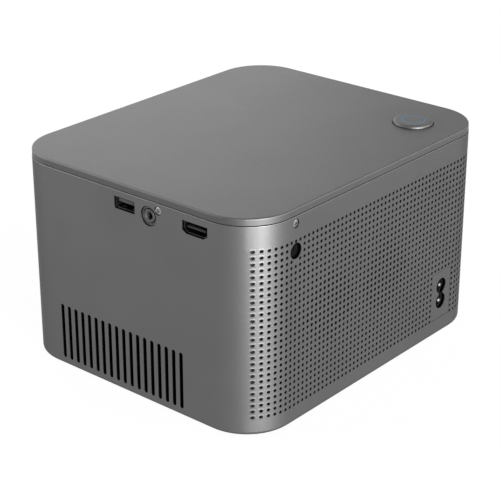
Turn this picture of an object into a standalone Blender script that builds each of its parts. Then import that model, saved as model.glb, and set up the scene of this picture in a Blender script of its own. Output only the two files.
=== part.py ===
"""A desktop video projector: a rounded metal case with a perforated rear wall, its sockets,
fans, loudspeakers, power supply, light engine and a lens with motor-driven focus.

Metres, +Z up. The origin is on the floor under the middle of the case. The lens looks along -Y,
the perforated rear wall faces +Y, and the sockets and exhaust slots face +X.
"""

import math

import bmesh
import bpy
from mathutils import Matrix, Vector

# Case
BODY_WIDTH = 0.180
BODY_DEPTH = 0.1504
CORNER_RADIUS = 0.0244
SHELL_HEIGHT = 0.1021
WALL = 0.0022
UNDER_FILLET = 0.0020
RIM_WIDTH = 0.0140
FOOT_HEIGHT = 0.0016
GROOVE_GAP = 0.0004
COVER_EDGE_HEIGHT = 0.0032
COVER_INSET = 0.00015
COVER_FILLET = 0.0007
COVER_PLATE = 0.0020
COVER_RIM_WALL = 0.0016
COVER_RIM_DROP = 0.0065
SEAT_GAP = 0.0003
OVERRUN = 0.0010
WELD = 0.000002
NOTCH_CLEARANCE = 0.0006
CORNER_STEPS = 8
ROUND_STEPS = 20
FINE_STEPS = 32
SMALL_STEPS = 12
FRAME_STEPS = 4
SLOT_STEPS = 2
PROFILE_STEPS = 3
EDGE_SEGMENTS = 2
SOFT_EDGE_ANGLE = 0.6
SMOOTH_ANGLE = 35
RIM_ANGLE = 57

# Perforated rear wall
HOLE_PITCH = 0.0030
HOLE_DIAMETER = 0.0016
HOLE_SIDES = 6
GRID_LOW = 0.0094
GRID_COLUMNS = 56
GRID_ROWS = 28
OPEN_RADIUS = 0.0167
SPEAKER_COLUMNS = (12, -2)
SPEAKER_ROW = 13.5

# Exhaust and intake slots
SLOT_COUNT = 18
SLOT_PITCH = 0.00452
SLOT_WIDTH = 0.0022
SLOT_LOW = 0.0041
SLOT_HIGH = 0.03285
SLOT_CENTRE_Y = -0.0060

# Main board
BOARD_THICKNESS = 0.0016
BOARD_DROP = 0.0122
BOARD_SIDE_GAP = 0.0030
BOARD_FRONT_GAP = 0.0272
BOARD_REAR_GAP = 0.0036
BOARD_CORNER = 0.0200
LEDGE_LENGTH = 0.0100
LEDGE_DEPTH = 0.0060
LEDGE_HEIGHT = 0.0060
LEDGE_INSET_Y = 0.0060
SPREADER_SIDE = 0.0400
SPREADER_HEIGHT = 0.0050
SPREADER_FIN = 0.0014
SPREADER_FINS = 8
SPREADER_BASE = 0.0015
SPREADER_Y = -0.0150

# USB socket
USB_Y = -0.00024
USB_RISE = 0.00615
USB_OPENING_WIDTH = 0.0128
USB_OPENING_TALL = 0.0059
USB_CORNER = 0.0004
USB_LENGTH = 0.0140
USB_TONGUE_WIDTH = 0.0100
USB_TONGUE_TALL = 0.0017
USB_TONGUE_DROP = 0.0011

# HDMI socket
HDMI_Y = 0.04195
HDMI_RISE = 0.0057
HDMI_OPENING_WIDTH = 0.01475
HDMI_OPENING_TALL = 0.0060
HDMI_FLAT_WIDTH = 0.0097
HDMI_SLOPE_TALL = 0.0015
HDMI_LENGTH = 0.0115
HDMI_TONGUE_WIDTH = 0.0110
HDMI_TONGUE_TALL = 0.0011
SOCKET_SHEET = 0.0004
SOCKET_CLEARANCE = 0.0002
SOCKET_RECESS = 0.0010
SOCKET_BACK = 0.0030

# Headphone socket
JACK_Y = 0.01465
JACK_RISE = 0.0048
JACK_POCKET_DIAMETER = 0.0096
JACK_POCKET_DEPTH = 0.0009
JACK_NOSE_DIAMETER = 0.0064
JACK_BORE_DIAMETER = 0.0036
JACK_BORE_DEPTH = 0.0120
JACK_BODY_WIDTH = 0.0070
JACK_BODY_LENGTH = 0.0125
JACK_BODY_TALL = 0.0060

# Case screws
SCREW_DROP = 0.0035
SIDE_SCREW_Y = 0.0203
REAR_SCREW_INSET = 0.0285
SCREW_HEAD_DIAMETER = 0.0038
SCREW_HEAD_HEIGHT = 0.0012
SCREW_SHANK_DIAMETER = 0.0020
SCREW_LENGTH = 0.0046
SCREW_SINK = 0.0004
SCREW_CLEARANCE = 0.00015
CROSS_LENGTH = 0.0022
CROSS_WIDTH = 0.0005
CROSS_DEPTH = 0.0006

# Remote-control window
WINDOW_INSET = 0.0285
WINDOW_DROP = 0.0041
WINDOW_DIAMETER = 0.0076
WINDOW_CROWN = 0.0004
WINDOW_FLANGE = 0.0014
WINDOW_FLANGE_THICKNESS = 0.0010
WINDOW_CLEARANCE = 0.00012
RECEIVER_WIDTH = 0.0060
RECEIVER_DEPTH = 0.0040
RECEIVER_DOME = 0.0018

# Mains inlet
INLET_INSET = 0.0345
INLET_HEIGHT = 0.0224
INLET_PLATE_WIDTH = 0.0160
INLET_PLATE_LOW = 0.0089
INLET_PLATE_HIGH = 0.0347
INLET_PLATE_THICKNESS = 0.0018
INLET_PLATE_CLEARANCE = 0.00015
INLET_LOBE_DIAMETER = 0.0081
INLET_LOBE_SPACING = 0.0084
INLET_WAIST = 0.0034
INLET_WELL_DEPTH = 0.0120
INLET_BODY_WIDTH = 0.0140
INLET_BODY_TALL = 0.0230
INLET_BODY_DEPTH = 0.0180
INLET_PIN_DIAMETER = 0.0024
INLET_PIN_SPACING = 0.0086
PIN_FLAT_SHARE = 0.4
INLET_PIN_SINK = 0.0014

# Power button
BUTTON_SIDE_INSET = 0.0291
BUTTON_REAR_INSET = 0.0249
BUTTON_DIAMETER = 0.0198
BUTTON_PROUD = 0.0015
BUTTON_ROUND = 0.0009
BUTTON_CLEARANCE = 0.00025
BUTTON_FLANGE = 0.0014
BUTTON_FLANGE_THICKNESS = 0.0012
BUTTON_TRAVEL = 0.0007
BUTTON_STEM_DIAMETER = 0.0060
RING_RADIUS = 0.0062
RING_STROKE = 0.0012
RING_DEPTH = 0.0008
RING_CLEARANCE = 0.00004
SWITCH_SIDE = 0.0062
SWITCH_BODY_TALL = 0.0040
SWITCH_PLUNGER_DIAMETER = 0.0034

# Base plate, feet and tripod insert
BASE_FLANGE = 0.0040
BASE_FLANGE_THICKNESS = 0.0020
BASE_LAP = 0.0004
FOOT_DIAMETER = 0.0110
FOOT_SEAT_DEPTH = 0.0010
FOOT_INSET = 0.0080
BASE_SCREW_SIDE_INSET = 0.0280
BASE_SCREW_INSET = 0.0115
INSERT_Y = 0.0120
INSERT_DIAMETER = 0.0100
INSERT_BORE_DIAMETER = 0.0062
INSERT_LENGTH = 0.0090
INSERT_BORE_DEPTH = 0.0075
INSERT_BOSS_WALL = 0.0020

# Power supply
SUPPLY_INSET = 0.0310
SUPPLY_WIDTH = 0.0400
SUPPLY_FRONT_GAP = 0.0312
SUPPLY_REAR_GAP = 0.0232
SUPPLY_POST_HEIGHT = 0.0050
SUPPLY_POST_DIAMETER = 0.0055
SUPPLY_POST_INSET = 0.0045
CORE_SIDE = 0.0240
CORE_EDGE = 0.0008
CORE_TALL = 0.0200
CORE_BOBBIN = 0.0160
CORE_BOBBIN_BULGE = 0.0030
CORE_SHARE = 0.6458
CAPACITOR_DIAMETER = 0.0160
CAPACITOR_TALL = 0.0260
CAPACITOR_SHARE = 0.2292
CAPACITOR_ROUND = 0.0012

# Exhaust fans
FAN_SIDE = 0.0400
FAN_DEPTH = 0.0100
FAN_CORNER = 0.0030
FAN_BORE_DIAMETER = 0.0378
FAN_HUB_DIAMETER = 0.0170
FAN_HUB_ROUND = 0.0008
FAN_TIP_CLEARANCE = 0.0007
FAN_RUNNING_GAP = 0.0006
FAN_BLADES = 7
FAN_BLADE_ROOT_ANGLE = 46.0
FAN_BLADE_TIP_ANGLE = 30.0
FAN_BLADE_CHORD = 0.0084
FAN_BLADE_THICKNESS = 0.0010
FAN_BLADE_CAMBER = 0.0008
FAN_HOLE_DIAMETER = 0.0035
FAN_HOLE_SPACING = 0.0320
FAN_STRUT_SHARE = 0.9
FAN_STRUT_ANGLES = (90, 210, 330)
FAN_HUB_STEPS = 28
FAN_STRUT_WIDTH = 0.0022
FAN_STRUT_DEPTH = 0.0016
FAN_AXLE_DIAMETER = 0.0030
FAN_AXLE_CLEARANCE = 0.0002
FAN_GAP = 0.0006

# Light engine
LENS_HEIGHT_SHARE = 0.5093
ENGINE_WIDTH_SHARE = 0.3111
ENGINE_TALL_SHARE = 0.4897
ENGINE_LENGTH_SHARE = 0.3191
ENGINE_EDGE = 0.0020
ENGINE_FRONT_GAP = 0.0452
ENGINE_WALL = 0.0020
ENGINE_BORE_DIAMETER = 0.0330
ENGINE_LEG_DIAMETER = 0.0070
ENGINE_LEG_INSET = 0.0080
PARTITION_SHARE = 0.6458
ENGINE_PARTITION = 0.0050
PANEL_THICKNESS = 0.0012
PANEL_SHARE = 0.3333
PANEL_GROOVE = 0.0008
LIGHT_BOARD_THICKNESS = 0.0016
LIGHT_BOARD_INSET = 0.0020
EMITTER_SIDE = 0.0100
EMITTER_TALL = 0.0008
CONDENSER_DIAMETER = 0.0360
CONDENSER_BULGE = 0.0045
CONDENSER_EDGE = 0.0020
SINK_BASE = 0.0040
SINK_DEPTH_SHARE = 0.1596
SINK_FIN = 0.0012
SINK_FINS = 13

# Lens and focus drive
SLEEVE_LENGTH = 0.0290
SLEEVE_INNER_DIAMETER = 0.0380
SLEEVE_WALL = 0.0022
SLEEVE_FLANGE_DIAMETER = 0.0500
SLEEVE_FLANGE_THICKNESS = 0.0030
CELL_WALL = 0.0022
CELL_LENGTH = 0.0300
CELL_CLEARANCE = 0.0003
CELL_PROUD = 0.0050
CELL_POCKET = 0.0090
CELL_SHOULDER = 0.0020
FRONT_LENS_BULGE = 0.0032
FRONT_LENS_EDGE = 0.0030
REAR_LENS_BULGE = 0.0024
REAR_LENS_EDGE = 0.0030
LENS_CLEARANCE = 0.0003
GEAR_MODULE = 0.00085
GEAR_TEETH = 60
PINION_TEETH = 12
GEAR_WIDTH = 0.0050
TOOTH_TIP_SHARE = 0.9
TOOTH_ROOT_SHARE = 1.15
PRESSURE_ANGLE = 20
GEAR_BORE_STEPS = 40
GEAR_BACKLASH = 0.00012
RING_STAND_OFF = 0.0100
COLLAR_WIDTH = 0.0020
COLLAR_HEIGHT = 0.0012
PINION_BORE_DIAMETER = 0.0020
MOTOR_DIAMETER = 0.0100
MOTOR_LENGTH = 0.0120
MOTOR_NOSE_DIAMETER = 0.0040
MOTOR_NOSE = 0.0010
MOTOR_SHAFT_CLEARANCE = 0.00015
MOTOR_ANGLE = 135.0
BEZEL_DIAMETER = 0.0520
BEZEL_RIM = 0.0035
BEZEL_THROAT_INSET = 0.0060
BEZEL_DEPTH = 0.0040
BEZEL_LIP = 0.0016
BEZEL_SINK = 0.0002
BEZEL_CLEARANCE = 0.00015

# Loudspeakers
SPEAKER_DIAMETER = 0.0400
SPEAKER_FLANGE = 0.0016
SPEAKER_DEPTH_SHARE = 0.1197
SPEAKER_CONE_DIAMETER = 0.0332
SPEAKER_CONE_DEPTH = 0.0070
SPEAKER_CONE_SHEET = 0.0010
SPEAKER_CAP_DIAMETER = 0.0110
SPEAKER_CAP_SHARE = 0.75
SPEAKER_CONE_STEPS = 24
SPEAKER_CAP_TALL = 0.0020
SPEAKER_MAGNET_DIAMETER = 0.0240
SPEAKER_MAGNET_DEPTH = 0.0070
SPEAKER_SHEET = 0.0012
SPEAKER_SEAT = 0.0014

# Levels and faces worked out from the sizes above
UNDERSIDE = FOOT_HEIGHT
SHELL_TOP = UNDERSIDE + SHELL_HEIGHT
COVER_LOW = SHELL_TOP + GROOVE_GAP
COVER_TOP = COVER_LOW + COVER_EDGE_HEIGHT
SIDE_X = BODY_WIDTH / 2
REAR_Y = BODY_DEPTH / 2
INNER_X = SIDE_X - WALL
INNER_Y = REAR_Y - WALL
BASE_TOP = UNDERSIDE + WALL + SEAT_GAP + BASE_FLANGE_THICKNESS
BOARD_HEIGHT = SHELL_HEIGHT - BOARD_DROP
BOARD_LOW = UNDERSIDE + BOARD_HEIGHT
BOARD_WIDTH = BODY_WIDTH - 2 * BOARD_SIDE_GAP
BOARD_LOW_Y = BOARD_FRONT_GAP - REAR_Y
BOARD_HIGH_Y = REAR_Y - BOARD_REAR_GAP
USB_HEIGHT = BOARD_HEIGHT + USB_RISE
HDMI_HEIGHT = BOARD_HEIGHT + HDMI_RISE
JACK_HEIGHT = BOARD_HEIGHT + JACK_RISE
WINDOW_HEIGHT = BOARD_HEIGHT - WINDOW_DROP
SCREW_HEIGHT = SHELL_HEIGHT - SCREW_DROP
WINDOW_X = SIDE_X - WINDOW_INSET
REAR_SCREW_X = SIDE_X - REAR_SCREW_INSET
BASE_SCREW_X = SIDE_X - BASE_SCREW_SIDE_INSET
INLET_X = INLET_INSET - SIDE_X
SUPPLY_X = SUPPLY_INSET - SIDE_X
BUTTON_X = BUTTON_SIDE_INSET - SIDE_X
BUTTON_Y = REAR_Y - BUTTON_REAR_INSET
SUPPLY_LOW_Y = SUPPLY_FRONT_GAP - REAR_Y
SUPPLY_HIGH_Y = REAR_Y - SUPPLY_REAR_GAP
SUPPLY_LENGTH = SUPPLY_HIGH_Y - SUPPLY_LOW_Y
CORE_Y = SUPPLY_LOW_Y + SUPPLY_LENGTH * CORE_SHARE
CAPACITOR_Y = SUPPLY_LOW_Y + SUPPLY_LENGTH * CAPACITOR_SHARE
BEZEL_MOUTH_DIAMETER = BEZEL_DIAMETER - 2 * BEZEL_RIM
BEZEL_THROAT_DIAMETER = BEZEL_DIAMETER - 2 * BEZEL_THROAT_INSET
LENS_HEIGHT = SHELL_HEIGHT * LENS_HEIGHT_SHARE
ENGINE_WIDTH = BODY_WIDTH * ENGINE_WIDTH_SHARE
ENGINE_TALL = SHELL_HEIGHT * ENGINE_TALL_SHARE
ENGINE_LENGTH = BODY_DEPTH * ENGINE_LENGTH_SHARE
ENGINE_FRONT_Y = ENGINE_FRONT_GAP - REAR_Y
ENGINE_BACK_Y = ENGINE_FRONT_Y + ENGINE_LENGTH
ENGINE_PARTITION_Y = ENGINE_FRONT_Y + ENGINE_LENGTH * PARTITION_SHARE
PANEL_Y = ENGINE_FRONT_Y + ENGINE_LENGTH * PANEL_SHARE
SINK_DEPTH = BODY_DEPTH * SINK_DEPTH_SHARE
SPEAKER_DEPTH = BODY_DEPTH * SPEAKER_DEPTH_SHARE
BOARD_TOP = BOARD_LOW + BOARD_THICKNESS
LENS_Z = UNDERSIDE + LENS_HEIGHT


def clear_scene():
    for old in list(bpy.data.objects):
        bpy.data.objects.remove(old, do_unlink=True)


def new_collection(name):
    made = bpy.data.collections.new(name)
    bpy.context.scene.collection.children.link(made)
    return made


def material(name, colour, roughness, metallic):
    made = bpy.data.materials.new(name)
    made.use_nodes = True
    shader = made.node_tree.nodes["Principled BSDF"]
    shader.inputs["Base Color"].default_value = (*colour, 1)
    shader.inputs["Roughness"].default_value = roughness
    shader.inputs["Metallic"].default_value = metallic
    return made


clear_scene()
PARTS = new_collection("video_projector")
CUTTERS = new_collection("cutters")

SHELL_METAL = material("shell_metal", (0.20, 0.20, 0.21), 0.42, 0.9)
COVER_METAL = material("cover_metal", (0.22, 0.22, 0.225), 0.50, 0.6)
DARK_PLASTIC = material("dark_plastic", (0.02, 0.02, 0.022), 0.5, 0.0)
GREY_PLASTIC = material("grey_plastic", (0.14, 0.14, 0.145), 0.55, 0.0)
RING_BLUE = material("ring_blue", (0.10, 0.26, 0.42), 0.35, 0.0)
RUBBER = material("foot_rubber", (0.03, 0.03, 0.03), 0.85, 0.0)
STEEL = material("screw_steel", (0.62, 0.62, 0.60), 0.30, 1.0)
BRASS = material("insert_brass", (0.72, 0.52, 0.22), 0.35, 1.0)
CHROME = material("pin_chrome", (0.80, 0.80, 0.82), 0.12, 1.0)
BOARD_GREEN = material("board_green", (0.02, 0.11, 0.05), 0.45, 0.0)
ALUMINIUM = material("sink_aluminium", (0.70, 0.71, 0.73), 0.35, 1.0)
FERRITE = material("core_ferrite", (0.06, 0.06, 0.065), 0.6, 0.0)
WINDOW_BLACK = material("window_black", (0.01, 0.01, 0.012), 0.08, 0.0)
LENS_GLASS = material("lens_glass", (0.55, 0.62, 0.70), 0.02, 0.0)
PANEL_GLASS = material("panel_glass", (0.10, 0.12, 0.14), 0.1, 0.0)
CONE_PAPER = material("cone_paper", (0.03, 0.03, 0.03), 0.8, 0.0)
GEAR_PLASTIC = material("gear_plastic", (0.75, 0.74, 0.70), 0.5, 0.0)


# Turning the drawing plane: "Z" draws in XY, "Y" draws in XZ and "X" draws in YZ
TO_AXIS = {
    "X": Matrix(((0, 0, 1, 0), (1, 0, 0, 0), (0, 1, 0, 0), (0, 0, 0, 1))),
    "Y": Matrix(((1, 0, 0, 0), (0, 0, -1, 0), (0, 1, 0, 0), (0, 0, 0, 1))),
    "Z": Matrix.Identity(4),
}


def place(name, mesh, finish, collection=None):
    made = bpy.data.objects.new(name, mesh)
    (collection or PARTS).objects.link(made)
    if finish:
        mesh.materials.clear()
        mesh.materials.append(finish)
    return made


def mesh_of(name, bm):
    bmesh.ops.remove_doubles(bm, verts=bm.verts, dist=WELD)
    bmesh.ops.recalc_face_normals(bm, faces=bm.faces)
    mesh = bpy.data.meshes.new(name)
    bm.to_mesh(mesh)
    bm.free()
    return mesh


def box_mesh(name, low, high):
    low, high = Vector(low), Vector(high)
    bm = bmesh.new()
    size = Matrix.Diagonal((*(high - low), 1))
    bmesh.ops.create_cube(bm, size=1, matrix=Matrix.Translation((low + high) / 2) @ size)
    return mesh_of(name, bm)


def box(name, low, high, finish=None):
    return place(name, box_mesh(name, low, high), finish)


def outline_mesh(name, outlines, low, high, axis="Z"):
    """A flat outline, with further outlines inside it as holes, extruded from low to high."""
    curve = bpy.data.curves.new(name, "CURVE")
    curve.dimensions = "2D"
    curve.fill_mode = "BOTH"
    curve.extrude = (high - low) / 2
    for outline in outlines:
        spline = curve.splines.new("POLY")
        spline.points.add(len(outline) - 1)
        for point, (u, v) in zip(spline.points, outline):
            point.co = (u, v, 0, 1)
        spline.use_cyclic_u = True
    drawn = bpy.data.objects.new(name, curve)
    bpy.context.scene.collection.objects.link(drawn)
    graph = bpy.context.evaluated_depsgraph_get()
    solid = bpy.data.meshes.new_from_object(drawn.evaluated_get(graph))
    bpy.data.objects.remove(drawn)
    bpy.data.curves.remove(curve)
    middle = (low + high) / 2
    sign = -1 if axis == "Y" else 1
    bm = bmesh.new()
    bm.from_mesh(solid)
    bpy.data.meshes.remove(solid)
    bm.transform(TO_AXIS[axis] @ Matrix.Translation((0, 0, sign * middle)))
    return mesh_of(name, bm)


def extruded(name, outlines, low, high, axis="Z", finish=None):
    return place(name, outline_mesh(name, outlines, low, high, axis), finish)


def circle(diameter, centre=(0, 0), steps=ROUND_STEPS, start=0.0):
    radius = diameter / 2
    turns = [start + math.tau * i / steps for i in range(steps)]
    return [(centre[0] + radius * math.cos(t), centre[1] + radius * math.sin(t)) for t in turns]


def rounded_rectangle(width, tall, radius, centre=(0, 0), steps=CORNER_STEPS):
    points = []
    for quarter, (side_u, side_v) in enumerate(((1, 1), (-1, 1), (-1, -1), (1, -1))):
        corner = (side_u * (width / 2 - radius), side_v * (tall / 2 - radius))
        for i in range(steps + 1):
            turn = math.pi / 2 * (quarter + i / steps)
            u = centre[0] + corner[0] + radius * math.cos(turn)
            v = centre[1] + corner[1] + radius * math.sin(turn)
            points.append((u, v))
    return points


def capsule(width, tall, centre=(0, 0)):
    """A round-ended slot outline that stands upright."""
    return rounded_rectangle(width, tall, width / 2, centre, SLOT_STEPS)


def lobed(diameter, spacing, waist, centre, steps=SMALL_STEPS):
    """An upright figure of eight: two circles, with a straight-sided waist between them."""
    radius = diameter / 2
    corner = math.acos(waist / 2 / radius)
    points = []
    for side, first in ((1, -corner), (-1, math.pi - corner)):
        for i in range(steps + 1):
            turn = first + (math.pi + 2 * corner) * i / steps
            u = centre[0] + radius * math.cos(turn)
            v = centre[1] + side * spacing / 2 + radius * math.sin(turn)
            points.append((u, v))
    return points


def turned_mesh(name, profile, centre, axis="Z", steps=ROUND_STEPS):
    """A closed profile of (radius, distance along the axis) points, spun about the axis."""
    bm = bmesh.new()
    verts = [bm.verts.new((radius, 0, along)) for radius, along in profile]
    edges = [bm.edges.new((a, b)) for a, b in zip(verts, verts[1:])]
    if profile[0][0] > 0 and profile[-1][0] > 0:
        edges.append(bm.edges.new((verts[-1], verts[0])))
    bmesh.ops.spin(
        bm, geom=verts + edges, cent=(0, 0, 0), axis=(0, 0, 1), angle=math.tau, steps=steps, use_merge=True
    )
    turn = TO_AXIS[axis] if axis != "Y" else TO_AXIS["Y"] @ Matrix.Rotation(math.pi, 4, "X")
    bm.transform(Matrix.Translation(centre) @ turn)
    return mesh_of(name, bm)


def turned(name, profile, centre, axis="Z", finish=None, steps=ROUND_STEPS):
    return place(name, turned_mesh(name, profile, centre, axis, steps), finish)


def swept_ring_mesh(name, width, depth, radius, profile):
    """A closed profile of (inset, height) points carried round a rounded rectangle."""
    bm = bmesh.new()

    def outline_at(inset):
        return rounded_rectangle(width - 2 * inset, depth - 2 * inset, radius - inset)

    first_inset, first_height = profile[0]
    loop = [bm.verts.new((x, y, first_height)) for x, y in outline_at(first_inset)]
    edges = [bm.edges.new(pair) for pair in zip(loop, loop[1:] + loop[:1])]
    for inset, height in profile[1:] + profile[:1]:
        made = set(bmesh.ops.extrude_edge_only(bm, edges=edges)["geom"])
        following = []
        for vert, (x, y) in zip(loop, outline_at(inset)):
            ahead = next(edge.other_vert(vert) for edge in vert.link_edges if edge.other_vert(vert) in made)
            ahead.co = (x, y, height)
            following.append(ahead)
        loop = following
        edges = [bm.edges.get(pair) for pair in zip(loop, loop[1:] + loop[:1])]
    return mesh_of(name, bm)


def joined_mesh(name, meshes):
    bm = bmesh.new()
    for mesh in meshes:
        bm.from_mesh(mesh)
        bpy.data.meshes.remove(mesh)
    made = bpy.data.meshes.new(name)
    bm.to_mesh(made)
    bm.free()
    return made


def boolean(target, meshes, operation, solver="EXACT"):
    name = f"{target.name}_{operation.lower()}_{len(target.modifiers)}"
    helper = place(name, joined_mesh(name, meshes), None, CUTTERS)
    helper.hide_render = True
    helper.display_type = "WIRE"
    modifier = target.modifiers.new(operation.title(), "BOOLEAN")
    modifier.operation = operation
    modifier.solver = solver
    modifier.object = helper
    return target


def cut(target, *meshes, solver="EXACT"):
    return boolean(target, meshes, "DIFFERENCE", solver)


def add(target, *meshes):
    return boolean(target, meshes, "UNION")


def soften(target, width, segments=EDGE_SEGMENTS):
    bevel = target.modifiers.new("Edge", "BEVEL")
    bevel.width = width
    bevel.segments = segments
    bevel.limit_method = "ANGLE"
    bevel.angle_limit = SOFT_EDGE_ANGLE
    return target


def smooth(target):
    target.data.shade_smooth()
    target.data.set_sharp_from_angle(angle=math.radians(SMOOTH_ANGLE))
    return target


# Case


def grid_x(column):
    return (column + 0.5) * HOLE_PITCH


def grid_z(row):
    return UNDERSIDE + GRID_LOW + row * HOLE_PITCH


def speaker_centre(column):
    return (column * HOLE_PITCH, grid_z(SPEAKER_ROW))


def speaker_holes():
    """The places of the grid's holes that lie over a loudspeaker, where they go right through."""
    columns = range(-GRID_COLUMNS // 2, GRID_COLUMNS // 2)
    grid = [(grid_x(column), grid_z(row)) for column in columns for row in range(GRID_ROWS)]
    centres = [speaker_centre(column) for column in SPEAKER_COLUMNS]
    return [spot for spot in grid if min(math.dist(spot, centre) for centre in centres) < OPEN_RADIUS]


def slot_places():
    first = SLOT_CENTRE_Y - SLOT_PITCH * (SLOT_COUNT - 1) / 2
    return [first + SLOT_PITCH * i for i in range(SLOT_COUNT)]


def hdmi_outline(shrink=0.0):
    width = HDMI_OPENING_WIDTH / 2 - shrink
    flat = HDMI_FLAT_WIDTH / 2 - shrink
    tall = HDMI_OPENING_TALL / 2 - shrink
    shape = ((-flat, -tall), (flat, -tall), (width, HDMI_SLOPE_TALL - tall), (width, tall))
    shape += ((-width, tall), (-width, HDMI_SLOPE_TALL - tall))
    return [(HDMI_Y + u, UNDERSIDE + HDMI_HEIGHT + v) for u, v in shape]


def usb_outline(shrink=0.0):
    width = USB_OPENING_WIDTH - 2 * shrink
    tall = USB_OPENING_TALL - 2 * shrink
    centre = (USB_Y, UNDERSIDE + USB_HEIGHT)
    return rounded_rectangle(width, tall, max(USB_CORNER - shrink, USB_CORNER / 2), centre, SLOT_STEPS)


def inlet_plate_outline(shrink=0.0):
    low = UNDERSIDE + INLET_PLATE_LOW + shrink
    high = UNDERSIDE + INLET_PLATE_HIGH - shrink
    half = INLET_PLATE_WIDTH / 2 - shrink
    corners = ((-half, low), (half, low), (half, high), (-half, high))
    return [(INLET_X + u, v) for u, v in corners]


def shell_profile():
    """From the underside's inner edge out round the foot of the wall, up it, and back down inside."""
    points = [(RIM_WIDTH, UNDERSIDE)]
    steps = PROFILE_STEPS
    for i in range(steps + 1):
        turn = math.pi / 2 * i / steps
        inset = UNDER_FILLET * (1 - math.sin(turn))
        points.append((inset, UNDERSIDE + UNDER_FILLET * (1 - math.cos(turn))))
    points += [(0, SHELL_TOP), (WALL, SHELL_TOP), (WALL, UNDERSIDE + WALL), (RIM_WIDTH, UNDERSIDE + WALL)]
    return points


def foot_places():
    inset = CORNER_RADIUS - (CORNER_RADIUS - FOOT_INSET) / math.sqrt(2)
    x, y = SIDE_X - inset, REAR_Y - inset
    return [(x, y), (-x, y), (-x, -y), (x, -y)]


def base_screw_places():
    y = REAR_Y - BASE_SCREW_INSET
    return [(BASE_SCREW_X, y), (-BASE_SCREW_X, y), (-BASE_SCREW_X, -y), (BASE_SCREW_X, -y)]


def case_screw_places():
    """Name, the axis it runs along, the side it is on and its place across the wall."""
    return (
        ("case_screw_right", "X", 1, SIDE_SCREW_Y),
        ("case_screw_left", "X", -1, SIDE_SCREW_Y),
        ("case_screw_rear", "Y", 1, REAR_SCREW_X),
    )


def wall_span(axis, side, outer, inner):
    """The low and high ends, along the axis, of a stretch from outer to inner under the wall's face."""
    face = SIDE_X if axis == "X" else REAR_Y
    ends = (side * (face - outer), side * (face - inner))
    return min(ends), max(ends)


def board_ledges():
    low = BOARD_LOW - SEAT_GAP - LEDGE_HEIGHT
    meshes = []
    for side in (-1, 1):
        for y in (BOARD_LOW_Y + LEDGE_INSET_Y, BOARD_HIGH_Y - BOARD_CORNER - LEDGE_LENGTH):
            ends = (side * (INNER_X + WALL / 2), side * (INNER_X - LEDGE_DEPTH))
            start = (min(ends), y, low)
            finish = (max(ends), y + LEDGE_LENGTH, low + LEDGE_HEIGHT)
            meshes.append(box_mesh("ledge", start, finish))
    return meshes


def make_main_shell():
    mesh = swept_ring_mesh("main_shell", BODY_WIDTH, BODY_DEPTH, CORNER_RADIUS, shell_profile())
    shell = place("main_shell", mesh, SHELL_METAL)
    add(shell, *board_ledges())
    through = (REAR_Y - WALL - OVERRUN, REAR_Y + OVERRUN)
    holes = [
        outline_mesh("hole", [circle(HOLE_DIAMETER, centre, HOLE_SIDES, math.pi / HOLE_SIDES)], *through, "Y")
        for centre in speaker_holes()
    ]
    cut(shell, *holes)
    window = circle(WINDOW_DIAMETER, (WINDOW_X, UNDERSIDE + WINDOW_HEIGHT))
    cut(
        shell,
        outline_mesh("window", [window], *through, "Y"),
        outline_mesh("inlet", [inlet_plate_outline()], *through, "Y"),
    )
    side = (SIDE_X - WALL - OVERRUN, SIDE_X + OVERRUN)
    tall = SLOT_HIGH - SLOT_LOW
    middle = UNDERSIDE + (SLOT_LOW + SLOT_HIGH) / 2
    slots = []
    for y in slot_places():
        outline = [capsule(SLOT_WIDTH, tall, (y, middle))]
        slots.append(outline_mesh("slot", outline, *side, "X"))
        slots.append(outline_mesh("slot", outline, -side[1], -side[0], "X"))
    cut(shell, *slots)
    jack = (JACK_Y, UNDERSIDE + JACK_HEIGHT)
    nose = circle(JACK_NOSE_DIAMETER + 2 * SEAT_GAP, jack, SMALL_STEPS)
    cut(
        shell,
        outline_mesh("usb", [usb_outline()], *side, "X"),
        outline_mesh("hdmi", [hdmi_outline()], *side, "X"),
        outline_mesh("nose", [nose], *side, "X"),
    )
    pocket = circle(JACK_POCKET_DIAMETER, jack, SMALL_STEPS)
    cut(shell, outline_mesh("pocket", [pocket], SIDE_X - JACK_POCKET_DEPTH, side[1], "X"))
    cut(shell, *case_screw_cutters())
    bezel = circle(BEZEL_DIAMETER + 2 * BEZEL_CLEARANCE, (0, LENS_Z), FINE_STEPS)
    cut(shell, outline_mesh("lens", [bezel], -through[1], -through[0], "Y"))
    feet = [
        outline_mesh("foot_seat", [circle(FOOT_DIAMETER + 2 * SEAT_GAP, at)], UNDERSIDE - OVERRUN,
                     UNDERSIDE + FOOT_SEAT_DEPTH)
        for at in foot_places()
    ]
    screws = [
        outline_mesh("screw_hole", [circle(SCREW_SHANK_DIAMETER + 2 * SEAT_GAP, at, SMALL_STEPS)],
                     UNDERSIDE - OVERRUN, UNDERSIDE + WALL + OVERRUN)
        for at in base_screw_places()
    ]
    seats = [
        outline_mesh("screw_seat", [circle(SCREW_HEAD_DIAMETER + 2 * SCREW_CLEARANCE, at, SMALL_STEPS)],
                     UNDERSIDE - OVERRUN, UNDERSIDE + SCREW_HEAD_HEIGHT + SEAT_GAP)
        for at in base_screw_places()
    ]
    cut(shell, *feet)
    cut(shell, *screws)
    cut(shell, *seats)
    return shell


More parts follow.
